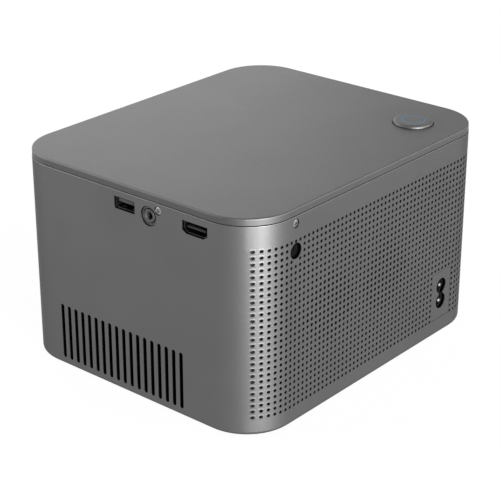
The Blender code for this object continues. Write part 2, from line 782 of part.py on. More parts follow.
def case_screw_cutters():
    """Head seats in the wall with shank holes behind them, as stepped turned shapes."""
    meshes = []
    for _, axis, side, at in case_screw_places():
        head = SCREW_HEAD_DIAMETER / 2 + SCREW_CLEARANCE
        shank = SCREW_SHANK_DIAMETER / 2 + SEAT_GAP
        seat = SCREW_SINK + SCREW_HEAD_HEIGHT + SEAT_GAP / 2
        profile = [(0, OVERRUN), (head, OVERRUN), (head, -seat), (shank, -seat)]
        profile += [(shank, -WALL - OVERRUN), (0, -WALL - OVERRUN)]
        meshes.append(wall_turned("case_screw_hole", profile, axis, side, at))
    return meshes


def wall_turned(name, profile, axis, side, at):
    """A turned shape whose distances run outwards from the wall's outer face."""
    face = SIDE_X if axis == "X" else REAR_Y
    spun = [(radius, side * along) for radius, along in profile]
    height = UNDERSIDE + SCREW_HEIGHT
    centre = (side * face, at, height) if axis == "X" else (at, side * face, height)
    return turned_mesh(name, spun, centre, axis, SMALL_STEPS)


def make_top_cover():
    rim_out = WALL + SEAT_GAP
    rim_in = rim_out + COVER_RIM_WALL
    low = SHELL_TOP - COVER_RIM_DROP
    plate = COVER_TOP - COVER_PLATE
    cover = extruded("top_cover", [body_outline(COVER_INSET)], COVER_LOW, COVER_TOP, "Z", COVER_METAL)
    round_top_edge(cover.data)
    add(cover, outline_mesh("skirt", [body_outline(rim_out)], low, COVER_LOW + OVERRUN))
    cut(cover, outline_mesh("hollow", [body_outline(rim_in)], low - OVERRUN, plate))
    button = circle(BUTTON_DIAMETER + 2 * BUTTON_CLEARANCE, (BUTTON_X, BUTTON_Y), FINE_STEPS)
    cut(cover, outline_mesh("button_hole", [button], plate - OVERRUN, COVER_TOP + OVERRUN))
    cut(cover, *skirt_notches(low))
    cut(cover, *skirt_holes())
    return cover


def body_outline(inset):
    """The case's rounded rectangle, drawn in by the inset all round."""
    return rounded_rectangle(BODY_WIDTH - 2 * inset, BODY_DEPTH - 2 * inset, CORNER_RADIUS - inset)


def round_top_edge(mesh):
    bm = bmesh.new()
    bm.from_mesh(mesh)
    top = [edge for edge in bm.edges if all(abs(v.co.z - COVER_TOP) < COVER_FILLET / 2 for v in edge.verts)]
    rim = [edge for edge in top if edge.calc_face_angle() > math.radians(RIM_ANGLE)]
    bmesh.ops.bevel(
        bm, geom=rim, offset=COVER_FILLET, segments=EDGE_SEGMENTS, profile=0.5, affect="EDGES", material=-1
    )
    bm.to_mesh(mesh)
    bm.free()


def skirt_notches(low):
    """Gaps in the cover's skirt where the three sockets stand."""
    inside = INNER_X - SEAT_GAP - COVER_RIM_WALL - OVERRUN
    outside = INNER_X + OVERRUN / 2
    top = COVER_LOW - OVERRUN / 4
    spans = ((USB_Y, USB_OPENING_WIDTH), (JACK_Y, JACK_BODY_WIDTH), (HDMI_Y, HDMI_OPENING_WIDTH))
    meshes = []
    for middle, width in spans:
        half = width / 2 + NOTCH_CLEARANCE
        start = (inside, middle - half, low - OVERRUN)
        meshes.append(box_mesh("notch", start, (outside, middle + half, top)))
    return meshes


def skirt_holes():
    meshes = []
    for _, axis, side, at in case_screw_places():
        span = wall_span(axis, side, WALL - OVERRUN, WALL + SEAT_GAP + COVER_RIM_WALL + OVERRUN)
        centre = (at, UNDERSIDE + SCREW_HEIGHT)
        hole = circle(SCREW_SHANK_DIAMETER + 2 * SEAT_GAP, centre, SMALL_STEPS)
        meshes.append(outline_mesh("shank_hole", [hole], *span, axis))
    return meshes


def make_case_screws():
    for name, axis, side, at in case_screw_places():
        head = SCREW_HEAD_DIAMETER / 2
        shank = SCREW_SHANK_DIAMETER / 2
        top = -SCREW_SINK
        neck = top - SCREW_HEAD_HEIGHT
        profile = [(0, top), (head - SCREW_SINK, top), (head, top - SCREW_SINK), (head, neck)]
        profile += [(shank, neck), (shank, neck - SCREW_LENGTH), (0, neck - SCREW_LENGTH)]
        screw = place(name, wall_turned(name, profile, axis, side, at), STEEL)
        span = wall_span(axis, side, SCREW_SINK - OVERRUN, SCREW_SINK + CROSS_DEPTH)
        cut_cross(smooth(screw), *span, axis, (at, UNDERSIDE + SCREW_HEIGHT))


def cut_cross(screw, low, high, axis, centre):
    """The two crossing slots of a screw head."""
    for width, tall in ((CROSS_LENGTH, CROSS_WIDTH), (CROSS_WIDTH, CROSS_LENGTH)):
        u, v = width / 2, tall / 2
        corners = ((-u, -v), (u, -v), (u, v), (-u, v))
        outline = [(centre[0] + x, centre[1] + y) for x, y in corners]
        cut(screw, outline_mesh("cross", [outline], low, high, axis))


# Base plate, feet and screws


def base_outline():
    inset = RIM_WIDTH - BASE_FLANGE
    return rounded_rectangle(
        BODY_WIDTH - 2 * inset, BODY_DEPTH - 2 * inset, CORNER_RADIUS - inset
    )


def supply_posts():
    half = SUPPLY_WIDTH / 2 - SUPPLY_POST_INSET
    rows = (SUPPLY_LOW_Y + SUPPLY_POST_INSET, SUPPLY_HIGH_Y - SUPPLY_POST_INSET)
    return [(SUPPLY_X + side * half, y) for side in (-1, 1) for y in rows]


def engine_legs():
    x = ENGINE_WIDTH / 2 - ENGINE_LEG_INSET
    rows = (ENGINE_FRONT_Y + ENGINE_LEG_INSET, ENGINE_BACK_Y - ENGINE_LEG_INSET)
    return [(side * x, y) for side in (-1, 1) for y in rows]


def make_base_plate():
    low = UNDERSIDE + WALL + SEAT_GAP
    plate = extruded("base_plate", [base_outline()], low, BASE_TOP, "Z", DARK_PLASTIC)
    plug = RIM_WIDTH + SEAT_GAP
    plug_outline = rounded_rectangle(
        BODY_WIDTH - 2 * plug, BODY_DEPTH - 2 * plug, CORNER_RADIUS - plug
    )
    add(plate, outline_mesh("plug", [plug_outline], UNDERSIDE + BASE_LAP, low + OVERRUN))
    overlap = BASE_FLANGE_THICKNESS / 2
    posts = [
        outline_mesh("post", [circle(SUPPLY_POST_DIAMETER, at, SMALL_STEPS)], BASE_TOP - overlap,
                     BASE_TOP + SUPPLY_POST_HEIGHT)
        for at in supply_posts()
    ]
    boss_diameter = INSERT_DIAMETER + 2 * INSERT_BOSS_WALL
    boss = circle(boss_diameter, (0, INSERT_Y))
    boss_top = UNDERSIDE + BASE_LAP + INSERT_LENGTH + INSERT_BOSS_WALL
    posts.append(outline_mesh("boss", [boss], BASE_TOP - overlap, boss_top))
    add(plate, *posts)
    seat = circle(INSERT_DIAMETER + 2 * SEAT_GAP, (0, INSERT_Y))
    seat_top = UNDERSIDE + BASE_LAP + INSERT_LENGTH + SEAT_GAP
    cut(plate, outline_mesh("insert_seat", [seat], UNDERSIDE - OVERRUN, seat_top))
    holes = [
        outline_mesh("screw_hole", [circle(SCREW_SHANK_DIAMETER + 2 * SEAT_GAP, at, SMALL_STEPS)],
                     low - OVERRUN, BASE_TOP + OVERRUN)
        for at in base_screw_places()
    ]
    cut(plate, *holes)
    return plate


def make_feet():
    top = UNDERSIDE + FOOT_SEAT_DEPTH - SEAT_GAP
    radius = FOOT_DIAMETER / 2
    edge = FOOT_HEIGHT / 4
    profile = [(0, 0), (radius - edge, 0), (radius, edge), (radius, top), (0, top)]
    for number, (x, y) in enumerate(foot_places(), 1):
        smooth(turned(f"foot_{number}", profile, (x, y, 0), "Z", RUBBER))


def make_base_screws():
    head = SCREW_HEAD_DIAMETER / 2
    shank = SCREW_SHANK_DIAMETER / 2
    neck = SCREW_HEAD_HEIGHT
    profile = [(0, 0), (head - SCREW_SINK, 0), (head, SCREW_SINK), (head, neck)]
    profile += [(shank, neck), (shank, neck + SCREW_LENGTH), (0, neck + SCREW_LENGTH)]
    for number, (x, y) in enumerate(base_screw_places(), 1):
        screw = turned(f"base_screw_{number}", profile, (x, y, UNDERSIDE), "Z", STEEL, SMALL_STEPS)
        cut_cross(smooth(screw), UNDERSIDE - OVERRUN, UNDERSIDE + CROSS_DEPTH, "Z", (x, y))


def make_tripod_insert():
    radius = INSERT_DIAMETER / 2
    low = UNDERSIDE + BASE_LAP
    body = [(0, 0), (radius, 0), (radius, INSERT_LENGTH), (0, INSERT_LENGTH)]
    insert = turned("tripod_insert", body, (0, INSERT_Y, low), "Z", BRASS)
    bore_outline = circle(INSERT_BORE_DIAMETER, (0, INSERT_Y), SMALL_STEPS)
    return cut(insert, outline_mesh("bore", [bore_outline], low - OVERRUN, low + INSERT_BORE_DEPTH))


# Power button


def make_power_button():
    """A round cap with a softened rim, a flange under the cover and a stem to the switch."""
    top = COVER_TOP + BUTTON_PROUD
    radius = BUTTON_DIAMETER / 2
    under = COVER_TOP - COVER_PLATE - SEAT_GAP
    flange_low = under - BUTTON_FLANGE_THICKNESS
    flange = radius + BUTTON_FLANGE
    stem = BUTTON_STEM_DIAMETER / 2
    stem_low = BOARD_TOP + SEAT_GAP + SWITCH_BODY_TALL + BUTTON_TRAVEL + SEAT_GAP
    profile = [(0, top)]
    steps = PROFILE_STEPS
    for i in range(steps + 1):
        turn = math.pi / 2 * i / steps
        rim = radius - BUTTON_ROUND * (1 - math.sin(turn))
        profile.append((rim, top - BUTTON_ROUND * (1 - math.cos(turn))))
    profile += [(radius, under), (flange, under), (flange, flange_low), (stem, flange_low)]
    profile += [(stem, stem_low), (0, stem_low)]
    points = [(r, z - top) for r, z in profile]
    button = turned("power_button", points, (0, 0, 0), "Z", SHELL_METAL, FINE_STEPS)
    groove = ring_outlines(RING_CLEARANCE)
    cut(button, outline_mesh("ring_groove", groove, -RING_DEPTH - RING_CLEARANCE, OVERRUN))
    button.location = (BUTTON_X, BUTTON_Y, top)
    for modifier in button.modifiers:
        modifier.object.location = button.location
    return smooth(button)


def ring_outlines(clearance=0.0):
    outer = 2 * RING_RADIUS + RING_STROKE + 2 * clearance
    inner = 2 * RING_RADIUS - RING_STROKE - 2 * clearance
    return [circle(outer, (0, 0), FINE_STEPS), circle(inner, (0, 0), FINE_STEPS)]


def make_button_ring():
    top = COVER_TOP + BUTTON_PROUD
    ring = extruded("button_ring", ring_outlines(), -RING_DEPTH, -RING_CLEARANCE, "Z", RING_BLUE)
    ring.location = (BUTTON_X, BUTTON_Y, top)
    return smooth(ring)


def make_button_switch():
    half = SWITCH_SIDE / 2
    low = BOARD_TOP + SEAT_GAP
    top = low + SWITCH_BODY_TALL
    start = (BUTTON_X - half, BUTTON_Y - half, low)
    end = (BUTTON_X + half, BUTTON_Y + half, top - BUTTON_TRAVEL / 2)
    body = box("button_switch", start, end, DARK_PLASTIC)
    plunger = circle(SWITCH_PLUNGER_DIAMETER, (BUTTON_X, BUTTON_Y), SMALL_STEPS)
    return add(body, outline_mesh("plunger", [plunger], low + OVERRUN, top))


# Main board and sockets


def make_main_board():
    middle_y = (BOARD_LOW_Y + BOARD_HIGH_Y) / 2
    outline = rounded_rectangle(
        BOARD_WIDTH, BOARD_HIGH_Y - BOARD_LOW_Y, BOARD_CORNER, (0, middle_y), FRAME_STEPS
    )
    return extruded("main_board", [outline], BOARD_LOW, BOARD_TOP, "Z", BOARD_GREEN)


def comb_outline(width, low, base, tip, fins, thickness, centre):
    """A plate with upright fins: width along u, from low through base to the fins' tips along v."""
    pitch = (width - thickness) / (fins - 1)
    left = centre - width / 2
    points = [(left, low), (left + width, low)]
    for fin in reversed(range(fins)):
        start = left + pitch * fin
        points += [(start + thickness, base)] if fin < fins - 1 else []
        points += [(start + thickness, tip), (start, tip)]
        points += [(start, base)] if fin > 0 else []
    return points


def make_heat_spreader():
    low = BOARD_TOP + SEAT_GAP
    outline = comb_outline(
        SPREADER_SIDE, low, low + SPREADER_BASE, low + SPREADER_HEIGHT, SPREADER_FINS, SPREADER_FIN, 0
    )
    half = SPREADER_SIDE / 2
    return extruded(
        "heat_spreader", [outline], SPREADER_Y - half, SPREADER_Y + half, "Y", ALUMINIUM
    )


def make_usb_socket():
    front = SIDE_X - SOCKET_RECESS
    back = front - USB_LENGTH
    outer = usb_outline(SOCKET_CLEARANCE)
    shell = extruded("usb_shell", [outer], back, front, "X", STEEL)
    inner = usb_outline(SOCKET_CLEARANCE + SOCKET_SHEET)
    cut(shell, outline_mesh("well", [inner], back + SOCKET_BACK, front + OVERRUN, "X"))
    half = USB_TONGUE_WIDTH / 2
    top = UNDERSIDE + USB_HEIGHT + USB_OPENING_TALL / 2 - USB_TONGUE_DROP
    start = (back + SOCKET_BACK + SEAT_GAP, USB_Y - half, top - USB_TONGUE_TALL)
    box("usb_tongue", start, (front - SOCKET_RECESS / 2, USB_Y + half, top), DARK_PLASTIC)


def make_hdmi_socket():
    front = SIDE_X - SOCKET_RECESS
    back = front - HDMI_LENGTH
    shell = extruded("hdmi_shell", [hdmi_outline(SOCKET_CLEARANCE)], back, front, "X", STEEL)
    inner = hdmi_outline(SOCKET_CLEARANCE + SOCKET_SHEET)
    cut(shell, outline_mesh("well", [inner], back + SOCKET_BACK, front + OVERRUN, "X"))
    half = HDMI_TONGUE_WIDTH / 2
    middle = UNDERSIDE + HDMI_HEIGHT
    low = middle - HDMI_TONGUE_TALL / 2
    start = (back + SOCKET_BACK + SEAT_GAP, HDMI_Y - half, low)
    finish = (front - SOCKET_RECESS / 2, HDMI_Y + half, low + HDMI_TONGUE_TALL)
    box("hdmi_tongue", start, finish, DARK_PLASTIC)


def make_audio_jack():
    centre = (JACK_Y, UNDERSIDE + JACK_HEIGHT)
    nose_front = SIDE_X - JACK_POCKET_DEPTH / 4
    body_front = INNER_X - SEAT_GAP
    nose = circle(JACK_NOSE_DIAMETER, centre, SMALL_STEPS)
    jack = extruded("audio_jack", [nose], body_front - OVERRUN, nose_front, "X", GREY_PLASTIC)
    half = JACK_BODY_WIDTH / 2
    low = BOARD_TOP + SEAT_GAP
    start = (body_front - JACK_BODY_LENGTH, JACK_Y - half, low)
    body = box_mesh("body", start, (body_front, JACK_Y + half, low + JACK_BODY_TALL))
    add(jack, body)
    bore = circle(JACK_BORE_DIAMETER, centre, SMALL_STEPS)
    cut(jack, outline_mesh("bore", [bore], nose_front - JACK_BORE_DEPTH, nose_front + OVERRUN, "X"))
    return jack


# Remote-control window and mains inlet


def make_ir_window():
    radius = WINDOW_DIAMETER / 2 - WINDOW_CLEARANCE
    flange = radius + WINDOW_FLANGE
    flange_front = -WALL - SEAT_GAP
    flange_back = flange_front - WINDOW_FLANGE_THICKNESS
    profile = [(0, 0)]
    for i in range(1, FRAME_STEPS + 1):
        share = i / FRAME_STEPS
        profile.append((radius * share, -WINDOW_CROWN * share * share))
    profile += [(radius, flange_front), (flange, flange_front), (flange, flange_back), (0, flange_back)]
    centre = (WINDOW_X, REAR_Y, UNDERSIDE + WINDOW_HEIGHT)
    return smooth(turned("ir_window", profile, centre, "Y", WINDOW_BLACK))


def make_ir_receiver():
    front = INNER_Y - 2 * SEAT_GAP - WINDOW_FLANGE_THICKNESS
    top = BOARD_LOW - SEAT_GAP
    middle = UNDERSIDE + WINDOW_HEIGHT
    half = RECEIVER_WIDTH / 2
    start = (WINDOW_X - half, front - RECEIVER_DOME - RECEIVER_DEPTH, middle - half)
    body = box("ir_receiver", start, (WINDOW_X + half, front - RECEIVER_DOME, top), DARK_PLASTIC)
    dome = circle(2 * RECEIVER_DOME, (WINDOW_X, middle), SMALL_STEPS)
    low = front - RECEIVER_DOME - OVERRUN
    return add(body, outline_mesh("dome", [dome], low, front, "Y"))


def make_inlet():
    plate_front = REAR_Y
    plate_back = plate_front - INLET_PLATE_THICKNESS
    centre = (INLET_X, UNDERSIDE + INLET_HEIGHT)
    plate = extruded(
        "inlet_plate", [inlet_plate_outline(INLET_PLATE_CLEARANCE)], plate_back, plate_front, "Y", SHELL_METAL
    )
    mouth = lobed(INLET_LOBE_DIAMETER, INLET_LOBE_SPACING, INLET_WAIST, centre)
    cut(plate, outline_mesh("mouth", [mouth], plate_back - OVERRUN, plate_front + OVERRUN, "Y"))
    front = plate_back - SEAT_GAP
    half = INLET_BODY_WIDTH / 2
    tall = INLET_BODY_TALL / 2
    start = (INLET_X - half, front - INLET_BODY_DEPTH, centre[1] - tall)
    body = box("inlet_socket", start, (INLET_X + half, front, centre[1] + tall), DARK_PLASTIC)
    well = lobed(INLET_LOBE_DIAMETER, INLET_LOBE_SPACING, INLET_WAIST, centre)
    well_end = plate_front - INLET_WELL_DEPTH
    cut(body, outline_mesh("well", [well], well_end, front + OVERRUN, "Y"))
    radius = INLET_PIN_DIAMETER / 2
    for number, side in enumerate((1, -1), 1):
        tip = plate_front - INLET_PIN_SINK
        base = well_end + SEAT_GAP
        profile = [(0, tip - base)]
        for i in range(PROFILE_STEPS + 1):
            turn = math.pi / 2 * i / PROFILE_STEPS
            share = PIN_FLAT_SHARE + (1 - PIN_FLAT_SHARE) * math.sin(turn)
            profile.append((radius * share, tip - base - radius * (1 - math.cos(turn))))
        profile += [(radius, 0), (0, 0)]
        at = (INLET_X, base, centre[1] + side * INLET_PIN_SPACING / 2)
        smooth(turned(f"inlet_pin_{number}", profile, at, "Y", CHROME, SMALL_STEPS))


# Power supply


def make_power_supply():
    low = BASE_TOP + SUPPLY_POST_HEIGHT + SEAT_GAP
    top = low + BOARD_THICKNESS
    half = SUPPLY_WIDTH / 2
    start = (SUPPLY_X - half, SUPPLY_LOW_Y, low)
    box("power_board", start, (SUPPLY_X + half, SUPPLY_HIGH_Y, top), BOARD_GREEN)
    part_low = top + SEAT_GAP
    core = box(
        "transformer",
        (SUPPLY_X - CORE_SIDE / 2, CORE_Y - CORE_SIDE / 2, part_low),
        (SUPPLY_X + CORE_SIDE / 2, CORE_Y + CORE_SIDE / 2, part_low + CORE_TALL),
        FERRITE,
    )
    soften(core, CORE_EDGE)
    bulge = CORE_SIDE / 2 + CORE_BOBBIN_BULGE
    shrink = (CORE_TALL - CORE_BOBBIN) / 2
    add(
        core,
        box_mesh(
            "winding",
            (SUPPLY_X - bulge, CORE_Y - CORE_BOBBIN / 2, part_low + shrink),
            (SUPPLY_X + bulge, CORE_Y + CORE_BOBBIN / 2, part_low + CORE_TALL - shrink),
        ),
    )
    radius = CAPACITOR_DIAMETER / 2
    profile = [(0, 0), (radius, 0), (radius, CAPACITOR_TALL - CAPACITOR_ROUND)]
    profile += [(radius - CAPACITOR_ROUND, CAPACITOR_TALL), (0, CAPACITOR_TALL)]
    smooth(turned("capacitor", profile, (SUPPLY_X, CAPACITOR_Y, part_low), "Z", DARK_PLASTIC))


# Exhaust fans


def fan_centres():
    z = BASE_TOP + SEAT_GAP + FAN_SIDE / 2
    offset = (FAN_SIDE + FAN_GAP) / 2
    return [(SLOT_CENTRE_Y - offset, z), (SLOT_CENTRE_Y + offset, z)]


def make_fan_frame(name, centre):
    face = INNER_X - SEAT_GAP
    back = face - FAN_DEPTH
    outlines = [
        rounded_rectangle(FAN_SIDE, FAN_SIDE, FAN_CORNER, centre, FRAME_STEPS),
        circle(FAN_BORE_DIAMETER, centre, ROUND_STEPS),
    ]
    half = FAN_HOLE_SPACING / 2
    for u, v in ((half, half), (-half, half), (-half, -half), (half, -half)):
        outlines.append(circle(FAN_HOLE_DIAMETER, (centre[0] + u, centre[1] + v), CORNER_STEPS))
    frame = extruded(name, outlines, back, face, "X", DARK_PLASTIC)
    hub = outline_mesh("hub", [circle(FAN_HUB_DIAMETER, centre)], back, back + FAN_STRUT_DEPTH, "X")
    axle_end = face - FAN_RUNNING_GAP - FAN_HUB_ROUND - FAN_STRUT_DEPTH
    axle_start = back + FAN_STRUT_DEPTH / 2
    axle_circle = circle(FAN_AXLE_DIAMETER, centre, SMALL_STEPS)
    axle = outline_mesh("axle", [axle_circle], axle_start, axle_end, "X")
    add(frame, hub)
    add(frame, axle)
    reach = FAN_BORE_DIAMETER / 2 + FAN_STRUT_WIDTH / 4
    root = FAN_HUB_DIAMETER / 2 - FAN_STRUT_WIDTH
    for turn in FAN_STRUT_ANGLES:
        strut = box_mesh(
            "strut",
            (0, root, -FAN_STRUT_WIDTH / 2),
            (FAN_STRUT_DEPTH * FAN_STRUT_SHARE, reach, FAN_STRUT_WIDTH / 2),
        )
        strut.transform(
            Matrix.Translation((back, *centre)) @ Matrix.Rotation(math.radians(turn), 4, "X")
        )
        add(frame, strut)
    return frame


def blade_mesh():
    """One twisted, cambered blade that points along +Y, with the fan's axis along X."""
    root = FAN_HUB_DIAMETER / 2 - FAN_BLADE_THICKNESS
    tip = FAN_BORE_DIAMETER / 2 - FAN_TIP_CLEARANCE
    bm = bmesh.new()
    bmesh.ops.create_cube(bm, size=1)
    lengthwise = [e for e in bm.edges if abs(e.verts[0].co.y - e.verts[1].co.y) > 0.5]
    bmesh.ops.subdivide_edges(bm, edges=lengthwise, cuts=1)
    chordwise = [e for e in bm.edges if abs(e.verts[0].co.z - e.verts[1].co.z) > 0.5]
    bmesh.ops.subdivide_edges(bm, edges=chordwise, cuts=2)
    for vert in bm.verts:
        along = vert.co.y + 0.5
        across = vert.co.z * FAN_BLADE_CHORD
        camber = FAN_BLADE_CAMBER * (1 - 4 * vert.co.z * vert.co.z)
        lift = vert.co.x * FAN_BLADE_THICKNESS + camber
        angle = FAN_BLADE_ROOT_ANGLE + (FAN_BLADE_TIP_ANGLE - FAN_BLADE_ROOT_ANGLE) * along
        turn = math.radians(angle)
        x = lift * math.cos(turn) + across * math.sin(turn)
        z = across * math.cos(turn) - lift * math.sin(turn)
        radius = root + (tip - root) * along
        swing = z / radius
        vert.co = (x, radius * math.cos(swing), radius * math.sin(swing))
    return mesh_of("blade", bm)


def make_fan_rotor(name, centre):
    face = INNER_X - SEAT_GAP
    front = face - FAN_RUNNING_GAP
    back = face - FAN_DEPTH + FAN_STRUT_DEPTH + FAN_RUNNING_GAP
    radius = FAN_HUB_DIAMETER / 2
    bore = FAN_AXLE_DIAMETER / 2 + FAN_AXLE_CLEARANCE
    middle = (front + back) / 2
    half = (front - back) / 2
    bore_end = half - FAN_HUB_ROUND - FAN_STRUT_DEPTH / 2
    profile = [(0, half), (radius - FAN_HUB_ROUND, half), (radius, half - FAN_HUB_ROUND)]
    profile += [(radius, -half), (bore, -half), (bore, bore_end), (0, bore_end)]
    rotor = turned(name, profile, (0, 0, 0), "X", DARK_PLASTIC, FAN_HUB_STEPS)
    blades = []
    for number in range(FAN_BLADES):
        blade = blade_mesh()
        blade.transform(Matrix.Rotation(math.tau * number / FAN_BLADES, 4, "X"))
        blades.append(blade)
    add(rotor, *blades)
    rotor.location = (middle, *centre)
    for modifier in rotor.modifiers:
        modifier.object.location = rotor.location
    return smooth(rotor)


def make_fans():
    for number, centre in enumerate(fan_centres(), 1):
        make_fan_frame(f"fan_{number}_frame", centre)
        make_fan_rotor(f"fan_{number}_rotor", centre)


# Light engine


def make_engine_housing():
    half = ENGINE_WIDTH / 2
    low, high = LENS_Z - ENGINE_TALL / 2, LENS_Z + ENGINE_TALL / 2
    housing = box("engine_housing", (-half, ENGINE_FRONT_Y, low), (half, ENGINE_BACK_Y, high), DARK_PLASTIC)
    soften(housing, ENGINE_EDGE, 1)
    leg_low = BASE_TOP + SEAT_GAP
    legs = [
        outline_mesh("leg", [circle(ENGINE_LEG_DIAMETER, at, SMALL_STEPS)], leg_low, low + ENGINE_WALL / 2)
        for at in engine_legs()
    ]
    add(housing, *legs)
    inner = half - ENGINE_WALL
    inner_low, inner_high = low + ENGINE_WALL, high - ENGINE_WALL
    partition_back = ENGINE_PARTITION_Y + ENGINE_PARTITION
    cut(
        housing,
        box_mesh(
            "front_room",
            (-inner, ENGINE_FRONT_Y + ENGINE_WALL, inner_low),
            (inner, ENGINE_PARTITION_Y, inner_high),
        ),
        box_mesh(
            "rear_room",
            (-inner, partition_back, inner_low),
            (inner, ENGINE_BACK_Y + OVERRUN, inner_high),
        ),
    )
    bore = circle(ENGINE_BORE_DIAMETER, (0, LENS_Z))
    cut(housing, outline_mesh("bore", [bore], ENGINE_FRONT_Y - OVERRUN, partition_back + OVERRUN, "Y"))
    seat = circle(CONDENSER_DIAMETER + 2 * LENS_CLEARANCE, (0, LENS_Z))
    seat_depth = CONDENSER_EDGE + 2 * LENS_CLEARANCE
    cut(housing, outline_mesh("seat", [seat], partition_back - seat_depth, partition_back + OVERRUN, "Y"))
    groove_half = PANEL_THICKNESS / 2 + SEAT_GAP
    reach = inner + PANEL_GROOVE
    groove_low = inner_low - PANEL_GROOVE
    start = (-reach, PANEL_Y - groove_half, groove_low)
    cut(housing, box_mesh("groove", start, (reach, PANEL_Y + groove_half, high + OVERRUN)))
    return housing


def make_display_panel():
    reach = ENGINE_WIDTH / 2 - ENGINE_WALL + PANEL_GROOVE - SEAT_GAP
    low = LENS_Z - ENGINE_TALL / 2 + ENGINE_WALL - PANEL_GROOVE + SEAT_GAP
    high = LENS_Z + ENGINE_TALL / 2
    half = PANEL_THICKNESS / 2
    return box("display_panel", (-reach, PANEL_Y - half, low), (reach, PANEL_Y + half, high), PANEL_GLASS)


def lens_profile(radius, edge, front_bulge, back_bulge, steps=FRAME_STEPS):
    """A lens section: the front dome, the straight edge and the back dome, centred on its edge."""
    half = edge / 2
    points = []
    for i in range(steps + 1):
        share = i / steps
        points.append((radius * share, half + front_bulge * (1 - share * share)))
    for i in range(steps, -1, -1):
        share = i / steps
        points.append((radius * share, -half - back_bulge * (1 - share * share)))
    return points


def make_condenser():
    partition_back = ENGINE_PARTITION_Y + ENGINE_PARTITION
    y = partition_back - LENS_CLEARANCE - CONDENSER_EDGE / 2
    profile = lens_profile(CONDENSER_DIAMETER / 2, CONDENSER_EDGE, CONDENSER_BULGE, 0.0)
    return smooth(turned("condenser_lens", profile, (0, y, LENS_Z), "Y", LENS_GLASS))


def make_light_source():
    board_front = ENGINE_BACK_Y + SEAT_GAP
    board_back = board_front + LIGHT_BOARD_THICKNESS
    half = ENGINE_WIDTH / 2 - LIGHT_BOARD_INSET / 2
    tall = ENGINE_TALL / 2 - LIGHT_BOARD_INSET / 2
    low, high = (-half, board_front, LENS_Z - tall), (half, board_back, LENS_Z + tall)
    board = box("light_board", low, high, ALUMINIUM)
    chip = EMITTER_SIDE / 2
    start = (-chip, board_front - EMITTER_TALL, LENS_Z - chip)
    add(board, box_mesh("emitter", start, (chip, board_front + LIGHT_BOARD_THICKNESS / 2, LENS_Z + chip)))
    sink_front = board_back + SEAT_GAP
    outline = comb_outline(
        ENGINE_WIDTH, sink_front, sink_front + SINK_BASE, sink_front + SINK_DEPTH, SINK_FINS, SINK_FIN, 0
    )
    low, high = LENS_Z - ENGINE_TALL / 2, LENS_Z + ENGINE_TALL / 2
    extruded("heat_sink", [outline], low, high, "Z", ALUMINIUM)


# Lens and focus drive


def sleeve_flange_front():
    return ENGINE_FRONT_Y - SEAT_GAP - SLEEVE_FLANGE_THICKNESS


def ring_back():
    return sleeve_flange_front() - RING_STAND_OFF


def make_lens_sleeve():
    """A flange on the engine and a tube towards the front, with two collars that hold the focus ring."""
    back = ENGINE_FRONT_Y - SEAT_GAP
    inner = SLEEVE_INNER_DIAMETER / 2
    outer = inner + SLEEVE_WALL
    collar = outer + COLLAR_HEIGHT
    flange = SLEEVE_FLANGE_DIAMETER / 2
    profile = [(inner, 0), (flange, 0), (flange, -SLEEVE_FLANGE_THICKNESS), (outer, -SLEEVE_FLANGE_THICKNESS)]
    rear = -(back - ring_back()) + SEAT_GAP
    front = rear - GEAR_WIDTH - 2 * SEAT_GAP
    profile += [(outer, rear + COLLAR_WIDTH), (collar, rear + COLLAR_WIDTH), (collar, rear), (outer, rear)]
    profile += [(outer, front), (collar, front)]
    profile += [(collar, front - COLLAR_WIDTH / 2), (outer, front - COLLAR_WIDTH)]
    profile += [(outer, -SLEEVE_LENGTH), (inner, -SLEEVE_LENGTH)]
    return smooth(turned("lens_sleeve", profile, (0, back, LENS_Z), "Y", DARK_PLASTIC))


def cell_front():
    return ENGINE_FRONT_Y - SEAT_GAP - SLEEVE_LENGTH - CELL_PROUD


def make_lens_cell():
    outer = SLEEVE_INNER_DIAMETER / 2 - CELL_CLEARANCE
    pocket = outer - CELL_WALL
    stop = pocket - CELL_SHOULDER
    profile = [(pocket, 0), (outer, 0), (outer, CELL_LENGTH), (pocket, CELL_LENGTH)]
    profile += [(pocket, CELL_LENGTH - CELL_POCKET), (stop, CELL_LENGTH - CELL_POCKET)]
    profile += [(stop, CELL_POCKET), (pocket, CELL_POCKET)]
    cell = turned("lens_cell", profile, (0, 0, 0), "Y", DARK_PLASTIC)
    cell.location = (0, cell_front(), LENS_Z)
    return smooth(cell)


def make_lens_glasses():
    radius = SLEEVE_INNER_DIAMETER / 2 - CELL_CLEARANCE - CELL_WALL - LENS_CLEARANCE
    front_y = cell_front() + CELL_POCKET - LENS_CLEARANCE - FRONT_LENS_EDGE / 2
    front = lens_profile(radius, FRONT_LENS_EDGE, 0.0, FRONT_LENS_BULGE)
    smooth(turned("front_lens", front, (0, front_y, LENS_Z), "Y", LENS_GLASS))
    rear_y = cell_front() + CELL_LENGTH - CELL_POCKET + LENS_CLEARANCE + REAR_LENS_EDGE / 2
    rear = lens_profile(radius, REAR_LENS_EDGE, REAR_LENS_BULGE, 0.0)
    smooth(turned("rear_lens", rear, (0, rear_y, LENS_Z), "Y", LENS_GLASS))


